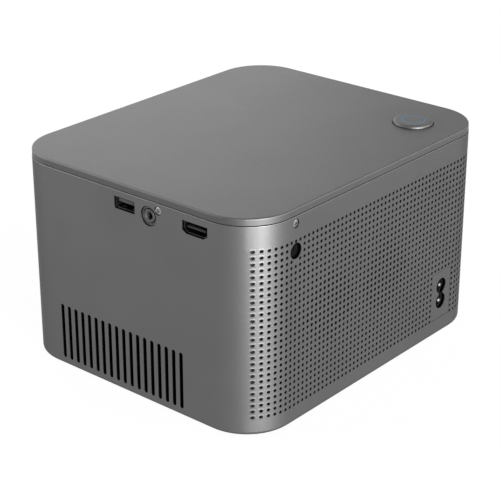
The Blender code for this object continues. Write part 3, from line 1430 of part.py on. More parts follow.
def gear_outline(teeth, first_turn):
    """Teeth with straight flanks, narrowed by the backlash and centred on the first turn."""
    pitch_radius = GEAR_MODULE * teeth / 2
    tip = pitch_radius + GEAR_MODULE * TOOTH_TIP_SHARE
    root = pitch_radius - GEAR_MODULE * TOOTH_ROOT_SHARE
    quarter = math.pi / 2 / teeth
    slack = GEAR_BACKLASH / pitch_radius
    slope = GEAR_MODULE * math.tan(math.radians(PRESSURE_ANGLE)) / pitch_radius
    tip_half = quarter - slack - slope
    root_half = quarter - slack + slope
    points = []
    for tooth in range(teeth):
        middle = first_turn + math.tau * tooth / teeth
        for radius, offset in ((root, -root_half), (tip, -tip_half), (tip, tip_half), (root, root_half)):
            turn = middle + offset
            points.append((radius * math.cos(turn), radius * math.sin(turn)))
    return points


def pinion_place():
    distance = GEAR_MODULE * (GEAR_TEETH + PINION_TEETH) / 2
    turn = math.radians(MOTOR_ANGLE)
    return distance * math.cos(turn), LENS_Z + distance * math.sin(turn)


def make_focus_gears():
    turn = math.radians(MOTOR_ANGLE)
    bore = SLEEVE_INNER_DIAMETER + 2 * SLEEVE_WALL + 2 * CELL_CLEARANCE
    ring_outlines = [gear_outline(GEAR_TEETH, turn), circle(bore, (0, 0), GEAR_BORE_STEPS)]
    ring = extruded("focus_ring", ring_outlines, -GEAR_WIDTH, 0, "Y", GEAR_PLASTIC)
    ring.location = (0, ring_back(), LENS_Z)
    x, z = pinion_place()
    half_tooth = math.pi / PINION_TEETH
    outline = gear_outline(PINION_TEETH, turn + math.pi + half_tooth)
    wide = GEAR_WIDTH + 2 * SEAT_GAP
    bore = circle(PINION_BORE_DIAMETER, (0, 0), SMALL_STEPS)
    pinion = extruded("focus_pinion", [outline, bore], -wide, 0, "Y", GEAR_PLASTIC)
    pinion.location = (x, ring_back() + SEAT_GAP, z)


def make_focus_motor():
    x, z = pinion_place()
    back = ENGINE_FRONT_Y - SEAT_GAP
    front = back - MOTOR_LENGTH + MOTOR_NOSE
    motor = extruded("focus_motor", [circle(MOTOR_DIAMETER, (x, z))], front, back, "Y", STEEL)
    soften(motor, SCREW_SINK, 1)
    nose_end = ring_back() + 2 * SEAT_GAP
    nose = circle(MOTOR_NOSE_DIAMETER, (x, z), SMALL_STEPS)
    add(motor, outline_mesh("nose", [nose], nose_end, front + OVERRUN, "Y"))
    shaft = circle(PINION_BORE_DIAMETER - 2 * MOTOR_SHAFT_CLEARANCE, (x, z), SMALL_STEPS)
    shaft_end = ring_back() - GEAR_WIDTH - 2 * SEAT_GAP
    add(motor, outline_mesh("shaft", [shaft], shaft_end, nose_end + OVERRUN / 2, "Y"))
    return motor


def make_lens_bezel():
    front = REAR_Y - BEZEL_SINK
    outer = BEZEL_DIAMETER / 2
    lip = outer + BEZEL_LIP
    mouth, throat = BEZEL_MOUTH_DIAMETER / 2, BEZEL_THROAT_DIAMETER / 2
    lip_front = WALL + SEAT_GAP - BEZEL_SINK
    profile = [(mouth, 0), (outer - BEZEL_SINK, 0), (outer, BEZEL_SINK), (outer, lip_front), (lip, lip_front)]
    profile += [(lip, BEZEL_DEPTH), (throat, BEZEL_DEPTH), (throat, lip_front)]
    return smooth(turned("lens_bezel", profile, (0, -front, LENS_Z), "Y", DARK_PLASTIC, FINE_STEPS))


# Loudspeakers


def speaker_frame_profile():
    """Distances run inwards from the flange's face, as negative numbers along +Y."""
    flange = SPEAKER_DIAMETER / 2
    seat = SPEAKER_CONE_DIAMETER / 2 + SEAT_GAP
    ledge = seat - SPEAKER_SEAT
    magnet = SPEAKER_MAGNET_DIAMETER / 2
    magnet_front = -SPEAKER_DEPTH + SPEAKER_MAGNET_DEPTH
    rim = -SPEAKER_CONE_SHEET - 2 * SEAT_GAP
    floor = -SPEAKER_CONE_DEPTH - SPEAKER_CONE_SHEET - SPEAKER_SHEET
    profile = [(0, floor), (magnet - SPEAKER_SHEET, floor), (ledge, rim), (seat, rim), (seat, 0)]
    profile += [(flange, 0), (flange, -SPEAKER_FLANGE), (seat + SPEAKER_SHEET, -SPEAKER_FLANGE)]
    profile += [(magnet, magnet_front), (magnet, -SPEAKER_DEPTH), (0, -SPEAKER_DEPTH)]
    return profile


def speaker_cone_profile():
    edge = SPEAKER_CONE_DIAMETER / 2
    cap = SPEAKER_CAP_DIAMETER / 2
    top = -SEAT_GAP
    low = -SPEAKER_CONE_DEPTH
    profile = [(0, low + SPEAKER_CAP_TALL), (cap / 2, low + SPEAKER_CAP_TALL * SPEAKER_CAP_SHARE), (cap, low)]
    profile += [(edge - 2 * SPEAKER_CONE_SHEET, top), (edge, top), (edge, top - SPEAKER_CONE_SHEET)]
    profile += [(edge - 2 * SPEAKER_CONE_SHEET, top - SPEAKER_CONE_SHEET)]
    profile += [(cap, low - SPEAKER_CONE_SHEET), (0, low - SPEAKER_CONE_SHEET)]
    return profile


def make_speakers():
    face = INNER_Y - SEAT_GAP
    for number, column in enumerate(SPEAKER_COLUMNS, 1):
        x, z = speaker_centre(column)
        frame, cone = f"speaker_{number}_frame", f"speaker_{number}_cone"
        smooth(turned(frame, speaker_frame_profile(), (x, face, z), "Y", DARK_PLASTIC))
        smooth(turned(cone, speaker_cone_profile(), (x, face, z), "Y", CONE_PAPER, SPEAKER_CONE_STEPS))


make_main_shell()
make_top_cover()
make_case_screws()
make_base_plate()
make_feet()
make_base_screws()
make_tripod_insert()
make_power_button()
make_button_ring()
make_button_switch()
make_main_board()
make_heat_spreader()
make_usb_socket()
make_hdmi_socket()
make_audio_jack()
make_ir_window()
make_ir_receiver()
make_inlet()
make_power_supply()
make_fans()
make_engine_housing()
make_display_panel()
make_condenser()
make_light_source()
make_lens_sleeve()
make_lens_cell()
make_lens_glasses()
make_focus_gears()
make_focus_motor()
make_lens_bezel()
make_speakers()
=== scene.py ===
# %% [markdown]
# # Dressing a desktop projector
# The solids of the projector come in as a fixed frame: each one has its true size and place.
# This lesson gives it its looks. The case gets a finely perforated wall, a moulded button and
# detailed sockets, and every piece gets a material made from nodes.

import math

import bmesh
import bpy
from mathutils import Matrix, Vector


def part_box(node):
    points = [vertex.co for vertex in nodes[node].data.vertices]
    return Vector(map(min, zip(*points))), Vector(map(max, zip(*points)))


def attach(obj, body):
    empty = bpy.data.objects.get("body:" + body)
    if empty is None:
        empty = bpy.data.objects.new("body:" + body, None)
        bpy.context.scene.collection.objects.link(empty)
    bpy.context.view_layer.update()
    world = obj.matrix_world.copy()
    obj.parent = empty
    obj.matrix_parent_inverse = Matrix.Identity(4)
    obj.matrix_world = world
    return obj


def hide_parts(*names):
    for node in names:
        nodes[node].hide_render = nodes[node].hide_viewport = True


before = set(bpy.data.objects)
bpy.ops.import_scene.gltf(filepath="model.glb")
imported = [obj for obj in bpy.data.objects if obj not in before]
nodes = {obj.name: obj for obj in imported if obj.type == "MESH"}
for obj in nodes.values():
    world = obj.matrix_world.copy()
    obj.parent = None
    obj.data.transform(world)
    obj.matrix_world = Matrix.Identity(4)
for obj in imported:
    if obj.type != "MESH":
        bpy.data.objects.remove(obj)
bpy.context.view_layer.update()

# %% [markdown]
# ## Sizes
# Everything is in metres. The case stands on low feet, so heights on the case are counted from
# its underside.

# %% Sizes of the case
MM = 0.001
HALF_WIDTH, HALF_DEPTH, CORNER = 0.090, 0.0752, 0.0244
FLAT_X, FLAT_Y = HALF_WIDTH - CORNER, HALF_DEPTH - CORNER
UNDERSIDE = 0.0016
SHELL_TOP = UNDERSIDE + 0.1021
COVER_TOP = SHELL_TOP + 0.0036
COVER_LOW = SHELL_TOP + 0.00015
WALL = 0.0022
HOLE_PITCH = 0.0030
HOLE_RADIUS, OPEN_HOLE_RADIUS = 0.8 * MM, 0.88 * MM
GRID_COLUMNS, GRID_ROWS = 56, 28
GRID_LOW = UNDERSIDE + 0.0094
GRID_HALF_WIDTH = GRID_COLUMNS / 2 * HOLE_PITCH
SPEAKERS = ((36 * MM, UNDERSIDE + 49.9 * MM), (-6 * MM, UNDERSIDE + 49.9 * MM))
OPEN_RADIUS = 16.7 * MM
print("case", 2 * HALF_WIDTH, "by", 2 * HALF_DEPTH, "by", COVER_TOP)

# %% [markdown]
# ## Camera
# The photograph was matched by a fit of the outline: the camera looks down at the
# corner between the socket wall and the perforated wall, through a long lens.

# %% Camera
scene = bpy.context.scene


def linked(name, data):
    """Makes an object of some data and puts it in the scene."""
    piece = bpy.data.objects.new(name, data)
    scene.collection.objects.link(piece)
    return piece


camera = linked("camera", bpy.data.cameras.new("camera"))
camera.data.lens = 112.83
camera.data.sensor_width = 36
camera.location = (0.54569, 0.45984, 0.36624)
sight = Vector((-0.00214, -0.00489, 0.04263)) - camera.location
camera.rotation_euler = sight.to_track_quat("-Z", "Y").to_euler()
camera.data.clip_start = 0.01
scene.camera = camera
print("camera", round(sight.length, 3), "m from the case")

# %% [markdown]
# ## Light
# Satin metal shows what stands round it, so the photograph tells where the lamps were. The
# rounded corner nearest to the camera has one bright upright strip, which asks for a small, strong
# lamp to the right of the camera. The top shines softly from a wide panel behind the case, and two
# wide, dim panels light the walls. A panel looks as bright as its power over pi times its area.

# %% Lamps and background
TARGET = Vector((0, 0, 0.05))


def lamp(name, azimuth, distance, height, width, tall, brightness):
    """A soft panel that faces the case. The azimuth counts from +X towards +Y, in degrees."""
    panel = bpy.data.lights.new(name, "AREA")
    panel.shape = "RECTANGLE"
    panel.size, panel.size_y = width, tall
    panel.energy = brightness * math.pi * width * tall
    piece = linked(name, panel)
    turn = math.radians(azimuth)
    piece.location = (distance * math.cos(turn), distance * math.sin(turn), height)
    piece.rotation_euler = (TARGET - piece.location).to_track_quat("-Z", "Y").to_euler()


lamp("corner_lamp", 67, 2.0, 0.20, 0.84, 0.38, 150)
lamp("rim_lamp", 238, 0.9, 0.45, 0.8, 0.6, 1.8)
lamp("right_lamp", 122, 1.2, 0.50, 1.2, 1.0, 4)
lamp("left_lamp", -62, 1.2, 0.50, 1.2, 1.0, 5)

world = bpy.data.worlds.new("studio")
scene.world = world
world.use_nodes = True
scene.view_settings.view_transform = "Standard"

# %% [markdown]
# ## A short way to write shader maths
# A node tree is a sum written with boxes and wires. The small class below wraps one socket, so
# that `a * b + 0.2` adds the Math nodes by itself. `Finish` holds one material and adds any other
# kind of node with one method.

# %% Shader helpers


class Wire:
    """One output socket that can be used in sums, products and powers."""

    def __init__(self, finish, socket):
        self.finish, self.socket = finish, socket

    def maths(self, operation, *values):
        return self.finish.node("ShaderNodeMath", dict(enumerate(values)), operation=operation)

    def __add__(self, other):
        return self.maths("ADD", self, other)

    def __sub__(self, other):
        return self.maths("SUBTRACT", self, other)

    def __rsub__(self, other):
        return self.maths("SUBTRACT", other, self)

    def __mul__(self, other):
        return self.maths("MULTIPLY", self, other)

    def __pow__(self, other):
        return self.maths("POWER", self, other)

    __radd__, __rmul__ = __add__, __mul__


class Finish:
    """One material: its Principled shader and the nodes that feed it."""

    def __init__(self, name, colour, roughness, metallic=0.0, **fixed):
        self.material = bpy.data.materials.new(name)
        self.material.use_nodes = True
        self.tree = self.material.node_tree
        self.shader = self.tree.nodes["Principled BSDF"]
        self.colour = (*colour, 1)
        self.material.diffuse_color = self.colour
        self.set("Base Color", self.colour)
        self.set("Roughness", roughness)
        self.set("Metallic", metallic)
        for socket, value in fixed.items():
            self.set(socket.replace("_", " "), value)
        coordinates = self.tree.nodes.new("ShaderNodeTexCoord")
        self.place = Wire(self, coordinates.outputs["Object"])

    def join(self, socket, value):
        if isinstance(value, Wire):
            self.tree.links.new(value.socket, socket)
        else:
            socket.default_value = value

    def set(self, name, value):
        self.join(self.shader.inputs[name], value)

    def node(self, kind, inputs, output=0, **settings):
        made = self.tree.nodes.new(kind)
        for name, value in settings.items():
            setattr(made, name, value)
        for name, value in inputs.items():
            self.join(made.inputs[name], value)
        return Wire(self, made.outputs[output])

    def noise(self, size, detail=2.0, stretch=None):
        """Soft random shades from 0 to 1, whose blotches are about size metres wide."""
        place = self.place
        if stretch:
            place = self.node("ShaderNodeMapping", {"Vector": place, "Scale": stretch})
        inputs = {"Vector": place, "Scale": 1 / size, "Detail": detail}
        return self.node("ShaderNodeTexNoise", inputs)

    def spots(self, size):
        """The distance to the nearest of many random points, size metres apart."""
        return self.node("ShaderNodeTexVoronoi", {"Vector": self.place, "Scale": 1 / size})

    def steps(self, value, low, high, dark=0.0, light=1.0):
        """A smooth step from dark to light as value goes from low to high."""
        inputs = {"Value": value, "From Min": low, "From Max": high, "To Min": dark, "To Max": light}
        return self.node("ShaderNodeMapRange", inputs)

    def tint(self, factor, colour):
        """Turns the material's colour so far to another one where factor is 1."""
        inputs = {0: factor, 6: self.colour, 7: (*colour, 1)}
        self.colour = self.node("ShaderNodeMix", inputs, 2, data_type="RGBA")
        self.set("Base Color", self.colour)

    def bump(self, height, depth):
        inputs = {"Height": height, "Distance": depth, "Strength": 1.0}
        self.set("Normal", self.node("ShaderNodeBump", inputs))


def dress(finish, *names):
    """Gives a finish to solids of the frame."""
    for name in names:
        nodes[name].data.materials.clear()
        nodes[name].data.materials.append(finish.material)


print("shader helpers ready")

# %% [markdown]
# ## Floor and white background
# The photograph is cut out on white. The world and the floor look white to the camera and in
# everything that mirrors or refracts, through the Light Path node. To all other rays they are a
# soft grey. To the camera the floor keeps a twentieth of its own shading, so that a faint shadow
# stays under the case.

# %% World and floor


def whitened(tree, shader, white_kind, camera_share):
    """Makes a shader plain white to glossy and transmission rays, and mostly so to the camera."""
    path = tree.nodes.new("ShaderNodeLightPath")
    to_camera = tree.nodes.new("ShaderNodeMath")
    to_camera.operation = "MULTIPLY"
    tree.links.new(path.outputs["Is Camera Ray"], to_camera.inputs[0])
    to_camera.inputs[1].default_value = camera_share
    seen = to_camera.outputs[0]
    for kind in ("Is Glossy Ray", "Is Transmission Ray"):
        either = tree.nodes.new("ShaderNodeMath")
        either.operation = "MAXIMUM"
        tree.links.new(seen, either.inputs[0])
        tree.links.new(path.outputs[kind], either.inputs[1])
        seen = either.outputs[0]
    white = tree.nodes.new(white_kind)
    white.inputs["Color"].default_value = (1, 1, 1, 1)
    white.inputs["Strength"].default_value = 1
    mix = tree.nodes.new("ShaderNodeMixShader")
    tree.links.new(seen, mix.inputs[0])
    tree.links.new(shader.outputs[0], mix.inputs[1])
    tree.links.new(white.outputs[0], mix.inputs[2])
    output = next(node for node in tree.nodes if node.type.startswith("OUTPUT"))
    tree.links.new(mix.outputs[0], output.inputs["Surface"])


grey_sky = world.node_tree.nodes["Background"]
grey_sky.inputs["Color"].default_value = (0.8, 0.8, 0.82, 1)
grey_sky.inputs["Strength"].default_value = 0.45
whitened(world.node_tree, grey_sky, "ShaderNodeBackground", 1)

floor_finish = Finish("floor_paper", (0.82, 0.82, 0.82), 0.85)
whitened(floor_finish.tree, floor_finish.shader, "ShaderNodeEmission", 0.95)
bm = bmesh.new()
bmesh.ops.create_grid(bm, x_segments=1, y_segments=1, size=6)
floor_mesh = bpy.data.meshes.new("floor")
bm.to_mesh(floor_mesh)
bm.free()
floor = linked("floor", floor_mesh)
floor_mesh.materials.append(floor_finish.material)
floor_grain = floor_finish.noise(0.002)
floor_finish.bump(floor_grain, 0.00005)
print("floor", floor.dimensions.x, "m wide")

# %% [markdown]
# ## Finishes
# The case is anodised metal: a dark, neutral grey with a satin shine and a very fine blasted
# grain. The grain is a small noise that feeds both the roughness and a faint bump, so that
# highlights break up a little, as they do on the real surface. Wide, weak blotches keep large
# faces from looking computed. Steel and brass parts are drawn or turned, so their noise is
# stretched into fine lines along one direction.

# %% Metals


def blasted(name, colour, darker, roughness, edge):
    """Anodised metal with a fine blasted grain and faint wide blotches."""
    fixed = {"Specular_Tint": (edge, edge, edge, 1), "Specular_IOR_Level": 0.0}
    finish = Finish(name, colour, roughness, 1.0, **fixed)
    grain = finish.noise(0.00035, 3)
    blotch = finish.noise(0.035, 3)
    finish.tint(finish.steps(blotch + grain * 0.35, 0.45, 0.95), darker)
    finish.set("Roughness", finish.steps(grain, 0.3, 0.7, roughness - 0.05, roughness + 0.05))
    finish.bump(grain, 0.000012)
    return finish


def brushed(name, colour, darker, roughness, stretch):
    """Drawn or turned metal with fine lines along one direction."""
    finish = Finish(name, colour, roughness, 1.0)
    lines = finish.noise(0.0004, 2, stretch)
    finish.tint(finish.steps(lines, 0.35, 0.7), darker)
    finish.set("Roughness", finish.steps(lines, 0.3, 0.7, roughness - 0.08, roughness + 0.1))
    finish.bump(lines, 0.00001)
    return finish


case_metal = blasted("case_metal", (0.120, 0.120, 0.121), (0.109, 0.109, 0.110), 0.42, 0.5)
cover_metal = blasted("cover_metal", (0.080, 0.080, 0.080), (0.072, 0.072, 0.072), 0.52, 1.0)
bright_steel = brushed("bright_steel", (0.30, 0.30, 0.30), (0.22, 0.22, 0.22), 0.28, (1, 1, 8))
socket_steel = brushed("socket_steel", (0.05, 0.05, 0.052), (0.035, 0.035, 0.036), 0.35, (6, 1, 1))
turned_brass = brushed("turned_brass", (0.72, 0.52, 0.24), (0.5, 0.34, 0.14), 0.3, (1, 1, 10))
bare_aluminium = brushed("bare_aluminium", (0.70, 0.71, 0.73), (0.55, 0.56, 0.58), 0.36, (8, 1, 1))
pin_chrome = brushed("pin_chrome", (0.11, 0.11, 0.115), (0.09, 0.09, 0.095), 0.42, (1, 10, 1))

# %% [markdown]
# The holes and slots of the case get painted shade: their insides are darkened in the colour, to stand
# in for the shadow in them. Their walls belong to the same mesh as the bright outside, so the material
# works out how deep each point lies under the face of a box with round corners, from its Object
# coordinates, and turns dark a little way down. The open holes over the loudspeakers are painted
# black as shade, and lose their metal shine too.

# %% Painted shade in holes and slots


def painted_shade_inside(finish, colour):
    """Paints shade into a case finish: dark in its holes and slots, a little way under the walls'
    faces.
    """
    split = finish.node("ShaderNodeSeparateXYZ", {0: finish.place})
    x, y, z = (Wire(finish, socket) for socket in split.socket.node.outputs)
    beyond_x = x.maths("MAXIMUM", x.maths("ABSOLUTE", x) - FLAT_X, 0.0)
    beyond_y = y.maths("MAXIMUM", y.maths("ABSOLUTE", y) - FLAT_Y, 0.0)
    depth = CORNER - (beyond_x ** 2.0 + beyond_y ** 2.0) ** 0.5
    over_the_fillet = finish.steps(z, UNDERSIDE + 2.5 * MM, UNDERSIDE + 3.5 * MM)
    # Painted shade: holes and slots turn dark from a quarter of a millimetre under the face.
    finish.tint(finish.steps(depth, 0.25 * MM, 0.75 * MM) * over_the_fillet, colour)
    # More painted shade in the vent slots, starting nearer the face.
    among_slots = finish.steps(beyond_y, 0.1 * MM, 0.0) * finish.steps(z, 38 * MM, 37 * MM)
    finish.tint(finish.steps(depth, 0.1 * MM, 0.4 * MM) * over_the_fillet * among_slots, colour)
    # Painted shade: the open holes over the loudspeakers go black and lose their metal shine.
    through = 0.0
    for speaker_x, speaker_z in SPEAKERS:
        aside, above = x - speaker_x, z - speaker_z
        away = (aside * aside + above * above) ** 0.5
        through = through + finish.steps(away, OPEN_RADIUS + 0.4 * MM, OPEN_RADIUS + 0.2 * MM)
    open_holes = finish.steps(y, FLAT_Y, FLAT_Y + MM) * through
    finish.tint(finish.steps(depth, 0.02 * MM, 0.1 * MM) * open_holes, colour)
    finish.set("Metallic", 1 - finish.steps(depth, 0.1 * MM, 0.2 * MM) * open_holes)


# The case metal gets painted shade in its holes and slots.
painted_shade_inside(case_metal, (0.006, 0.006, 0.006))
print(len(bpy.data.materials), "finishes so far")

# %% [markdown]
# Moulded plastic copies the fine texture of its mould, so a Voronoi pattern gives the bump. Dust
# and wear are a second, wider noise that pales the colour and dulls the shine a little. Rubber and
# paper only differ in their numbers. The window is polished, so it gets a faint smear instead.

# %% Plastics, rubber and paper


def moulded(name, colour, paler, roughness, grain_size=0.0003, depth=0.00001, **fixed):
    """Plastic from a textured mould, with a little dust in its wide hollows."""
    finish = Finish(name, colour, roughness, 0.0, **fixed)
    grain = finish.spots(grain_size)
    dust = finish.noise(0.01, 4)
    finish.tint(finish.steps(dust, 0.5, 0.8, 0.0, 0.6), paler)
    finish.set("Roughness", finish.steps(dust, 0.3, 0.7, roughness - 0.05, roughness + 0.07))
    finish.bump(grain, depth)
    return finish


dark_plastic = moulded("dark_plastic", (0.007, 0.007, 0.008), (0.014, 0.014, 0.015), 0.55)
port_plastic = moulded("port_plastic", (0.003, 0.003, 0.003), (0.005, 0.005, 0.005), 0.42,
                       0.0002, 0.000006)
tongue_plastic = moulded("tongue_plastic", (0.009, 0.009, 0.010), (0.014, 0.014, 0.014), 0.5,
                         0.0002, 0.000004, Specular_IOR_Level=0.15)
jack_plastic = moulded("jack_plastic", (0.010, 0.010, 0.011), (0.015, 0.015, 0.015), 0.6,
                       0.0003, 0.000006)
bezel_plastic = moulded("bezel_plastic", (0.012, 0.012, 0.014), (0.02, 0.02, 0.022), 0.3,
                        0.0004, 0.000006)
gear_plastic = moulded("gear_plastic", (0.72, 0.70, 0.64), (0.6, 0.58, 0.52), 0.4)
foot_rubber = moulded("foot_rubber", (0.022, 0.022, 0.022), (0.05, 0.05, 0.05), 0.8, 0.0006, 0.00003)
cone_paper = moulded("cone_paper", (0.03, 0.03, 0.03), (0.05, 0.05, 0.048), 0.85, 0.0005, 0.00005)
core_ferrite = moulded("core_ferrite", (0.055, 0.055, 0.06), (0.09, 0.09, 0.09), 0.6, 0.0004, 0.00002)
ring_blue = moulded("ring_blue", (0.02, 0.075, 0.14), (0.028, 0.09, 0.155), 0.5, 0.0002, 0.000003)
window_black = Finish("window_black", (0.001, 0.001, 0.001), 0.06, 0.0, Specular_IOR_Level=0.03)
smear = window_black.noise(0.002, 3)
window_black.set("Roughness", window_black.steps(smear, 0.35, 0.75, 0.05, 0.14))
print(len(bpy.data.materials), "finishes so far")

# %% [markdown]
# A circuit board is green lacquer over copper tracks. Bricks with thin mortar lines stand in for
# the tracks and small spots for the pads, which is enough for what the slots show. The glass of a
# projection lens is coated, which tints its reflections violet, so it gets a coat of its own.

# %% Boards and glass
board_green = Finish("board_green", (0.015, 0.085, 0.035), 0.35)
track = board_green.node("ShaderNodeTexBrick", {
    "Vector": board_green.place, "Scale": 260.0, "Mortar Size": 0.12, "Mortar Smooth": 0.2,
    "Color1": (0, 0, 0, 1), "Color2": (0, 0, 0, 1), "Mortar": (1, 1, 1, 1)}, offset=0.5)
pads = board_green.spots(0.0035)
board_green.tint(track * 0.5 + board_green.steps(pads, 0.12, 0.1) * 0.5, (0.30, 0.26, 0.10))
board_green.bump(track, 0.00003)

lens_glass = Finish("lens_glass", (0.9, 0.93, 0.96), 0.02, 0.0, Transmission_Weight=1.0, IOR=1.5,
                    Coat_Weight=0.6, Coat_Roughness=0.02, Coat_IOR=1.8, Coat_Tint=(0.62, 0.55, 0.88, 1))
haze = lens_glass.noise(0.004, 3)
lens_glass.set("Roughness", lens_glass.steps(haze, 0.4, 0.8, 0.015, 0.06))
panel_glass = Finish("panel_glass", (0.05, 0.07, 0.09), 0.1, 0.0, Transmission_Weight=0.4)
pixels = panel_glass.spots(0.0002)
panel_glass.bump(pixels, 0.000004)
print(len(bpy.data.materials), "finishes")

# %% [markdown]
# ## Helpers for meshes
# `lathe` spins a line of points, which makes buttons, lenses and holes. `prism` extrudes a flat
# outline. Both build along +Z and are then turned to face the wall that they belong to, in a new
# mesh or in the one given. `keep` closes a mesh, marks its sharp edges and makes it ride on a
# body of the frame.

# %% Mesh helpers
WELD = 0.004 * MM
SHARP = math.radians(32)


def turned_to(facing, centre):
    """The matrix that carries +Z to the direction faced and the origin to the centre."""
    facing = Vector(facing)
    if abs(facing.z) > 0.5:
        turn = Matrix.Rotation(0 if facing.z > 0 else math.pi, 4, "X")
    else:
        turn = facing.to_track_quat("Z", "Y").to_matrix().to_4x4()
    return Matrix.Translation(centre) @ turn


def placed(bm, first, facing, centre):
    """Turns and moves the vertices that were added after the first ones."""
    bm.verts.ensure_lookup_table()
    bmesh.ops.transform(bm, matrix=turned_to(facing, centre), verts=bm.verts[first:])
    return bm


def lathe(profile, facing, centre, steps=48, bm=None):
    """Spins a line of (radius, height) points into a closed shape that faces one way."""
    bm = bm or bmesh.new()
    first = len(bm.verts)
    line = [bm.verts.new((radius, 0, along)) for radius, along in profile]
    edges = [bm.edges.new(pair) for pair in zip(line, line[1:])]
    bmesh.ops.spin(bm, geom=line + edges, cent=(0, 0, 0), axis=(0, 0, 1), angle=2 * math.pi,
                   steps=steps, use_merge=True)
    return placed(bm, first, facing, centre)


def prism(outline, low, high, facing, centre, bm=None):
    """Extrudes a flat outline from one height to another along the direction that it faces."""
    bm = bm or bmesh.new()
    first = len(bm.verts)
    ring = [bm.verts.new((x, y, low)) for x, y in outline]
    face = bm.faces.new(ring)
    made = bmesh.ops.extrude_face_region(bm, geom=[face])["geom"]
    top = [part for part in made if isinstance(part, bmesh.types.BMVert)]
    bmesh.ops.translate(bm, vec=(0, 0, high - low), verts=top)
    return placed(bm, first, facing, centre)


def arc(centre, radius, start, end, steps):
    """Points on an arc, from one angle to the other, in degrees."""
    turns = [math.radians(start + (end - start) * i / steps) for i in range(steps + 1)]
    return [(centre[0] + radius * math.cos(t), centre[1] + radius * math.sin(t)) for t in turns]


def rounded(width, tall, radius, steps=6):
    """A rectangle with round corners, about the origin."""
    x, y = width / 2 - radius, tall / 2 - radius
    corners = ((x, y, 0), (-x, y, 90), (-x, -y, 180), (x, -y, 270))
    return [p for cx, cy, turn in corners for p in arc((cx, cy), radius, turn, turn + 90, steps)]


def circle(radius, steps=48):
    return arc((0, 0), radius, 0, 360 - 360 / steps, steps - 1)


def stepped(rim, bore, out, ledge, end):
    """The profile of a hole: wide from its mouth to a ledge, then narrow to its end."""
    return [(0, out), (rim, out), (rim, ledge), (bore, ledge), (bore, end), (0, end)]


def middle_of(node):
    """The middle of the box round a solid of the frame."""
    low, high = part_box(node)
    return (low + high) / 2


def closed(bm):
    """Merges points that lie together and turns all faces outwards."""
    bmesh.ops.remove_doubles(bm, verts=bm.verts, dist=WELD)
    bmesh.ops.recalc_face_normals(bm, faces=bm.faces)
    return bm


def cut(bm, cutters):
    """Subtracts one bmesh from another with a Boolean modifier and returns the result."""
    pair = []
    for source in (bm, closed(cutters)):
        mesh = bpy.data.meshes.new("work")
        source.to_mesh(mesh)
        source.free()
        pair.append(linked("work", mesh))
    modifier = pair[0].modifiers.new("cut", "BOOLEAN")
    modifier.operation, modifier.solver, modifier.object = "DIFFERENCE", "EXACT", pair[1]
    graph = bpy.context.evaluated_depsgraph_get()
    result = bmesh.new()
    result.from_mesh(pair[0].evaluated_get(graph).to_mesh())
    for piece in pair:
        bpy.data.meshes.remove(piece.data)
    return result


def keep(bm, name, finish, body="case", replaces=()):
    """Makes a finished mesh a piece of the scene, in the place of solids of the frame."""
    closed(bm)
    for face in bm.faces:
        face.smooth = True
    for edge in bm.edges:
        edge.smooth = edge.calc_face_angle(math.pi) < SHARP
    mesh = bpy.data.meshes.new(name)
    bm.to_mesh(mesh)
    bm.free()
    mesh.materials.append(finish.material)
    piece = linked(name, mesh)
    smoother = piece.modifiers.new("even normals", "WEIGHTED_NORMAL")
    smoother.keep_sharp = True
    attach(piece, body)
    if replaces:
        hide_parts(*replaces)
    print(name, len(mesh.polygons), "faces")


print("mesh helpers ready")

# %% [markdown]
# ## The perforated case
# The real case has about fifteen hundred small holes on one wall, and they run round into both
# rear corners. Most are blind dimples, and only those over the loudspeakers go through. A bump
# map would look flat at the edges, so the dimples are modelled. A grid has one cell for each
# hole. Every cell is inset, its inner square is cut into twelve edges that are pulled onto a
# circle, and the disc is pushed in. Then the flat sheet is bent round the corners.

# %% The outline of the case


def rear_station(x):
    """Place and outward direction at x on the rear wall or its corners."""
    past = abs(x) - FLAT_X
    if past <= 0:
        return Vector((x, HALF_DEPTH)), Vector((0, 1))
    rise = math.sqrt(CORNER**2 - past**2)
    return Vector((x, FLAT_Y + rise)), Vector((math.copysign(past, x), rise)) / CORNER


def corner_stations(side_x, side_y, start, end, steps):
    middle = Vector((side_x * FLAT_X, side_y * FLAT_Y))
    turns = [math.radians(start + (end - start) * i / steps) for i in range(steps + 1)]
    normals = [Vector((math.cos(turn), math.sin(turn))) for turn in turns]
    return [(middle + CORNER * normal, normal) for normal in normals]


def flat_stations(start, end, normal):
    """Both ends of a flat wall, with a narrow strip at each that keeps its shading flat."""
    start, end, normal = Vector(start), Vector(end), Vector(normal)
    strip = (end - start).normalized() * MM
    return [(start + strip, normal), (end - strip, normal)]


GRID_TURN = math.degrees(math.acos((GRID_HALF_WIDTH - HALF_WIDTH + CORNER) / CORNER))
rear_stations = [rear_station(GRID_HALF_WIDTH - i * HOLE_PITCH) for i in range(GRID_COLUMNS + 1)]
rest_stations = corner_stations(-1, 1, 180 - GRID_TURN, 180, 8)
rest_stations += flat_stations((-HALF_WIDTH, FLAT_Y), (-HALF_WIDTH, -FLAT_Y), (-1, 0))
rest_stations += corner_stations(-1, -1, 180, 270, 20)
rest_stations += flat_stations((-FLAT_X, -HALF_DEPTH), (FLAT_X, -HALF_DEPTH), (0, -1))
rest_stations += corner_stations(1, -1, 270, 360, 20)
rest_stations += flat_stations((HALF_WIDTH, -FLAT_Y), (HALF_WIDTH, FLAT_Y), (1, 0))
rest_stations += corner_stations(1, 1, 0, GRID_TURN, 8)
print(len(rear_stations) + len(rest_stations), "stations round the case")

# %% [markdown]
# The wall is one profile carried round the case: a fillet at the foot, the flat wall, a small
# round at the top edge and the inner face. A grid is wrapped onto it, with one column for each
# station and one row for each point of the profile. On the perforated side only the foot and the
# top are wrapped, and their edges have the same points as the sheets of holes between them.

# %% Wall, rim and edges of the case


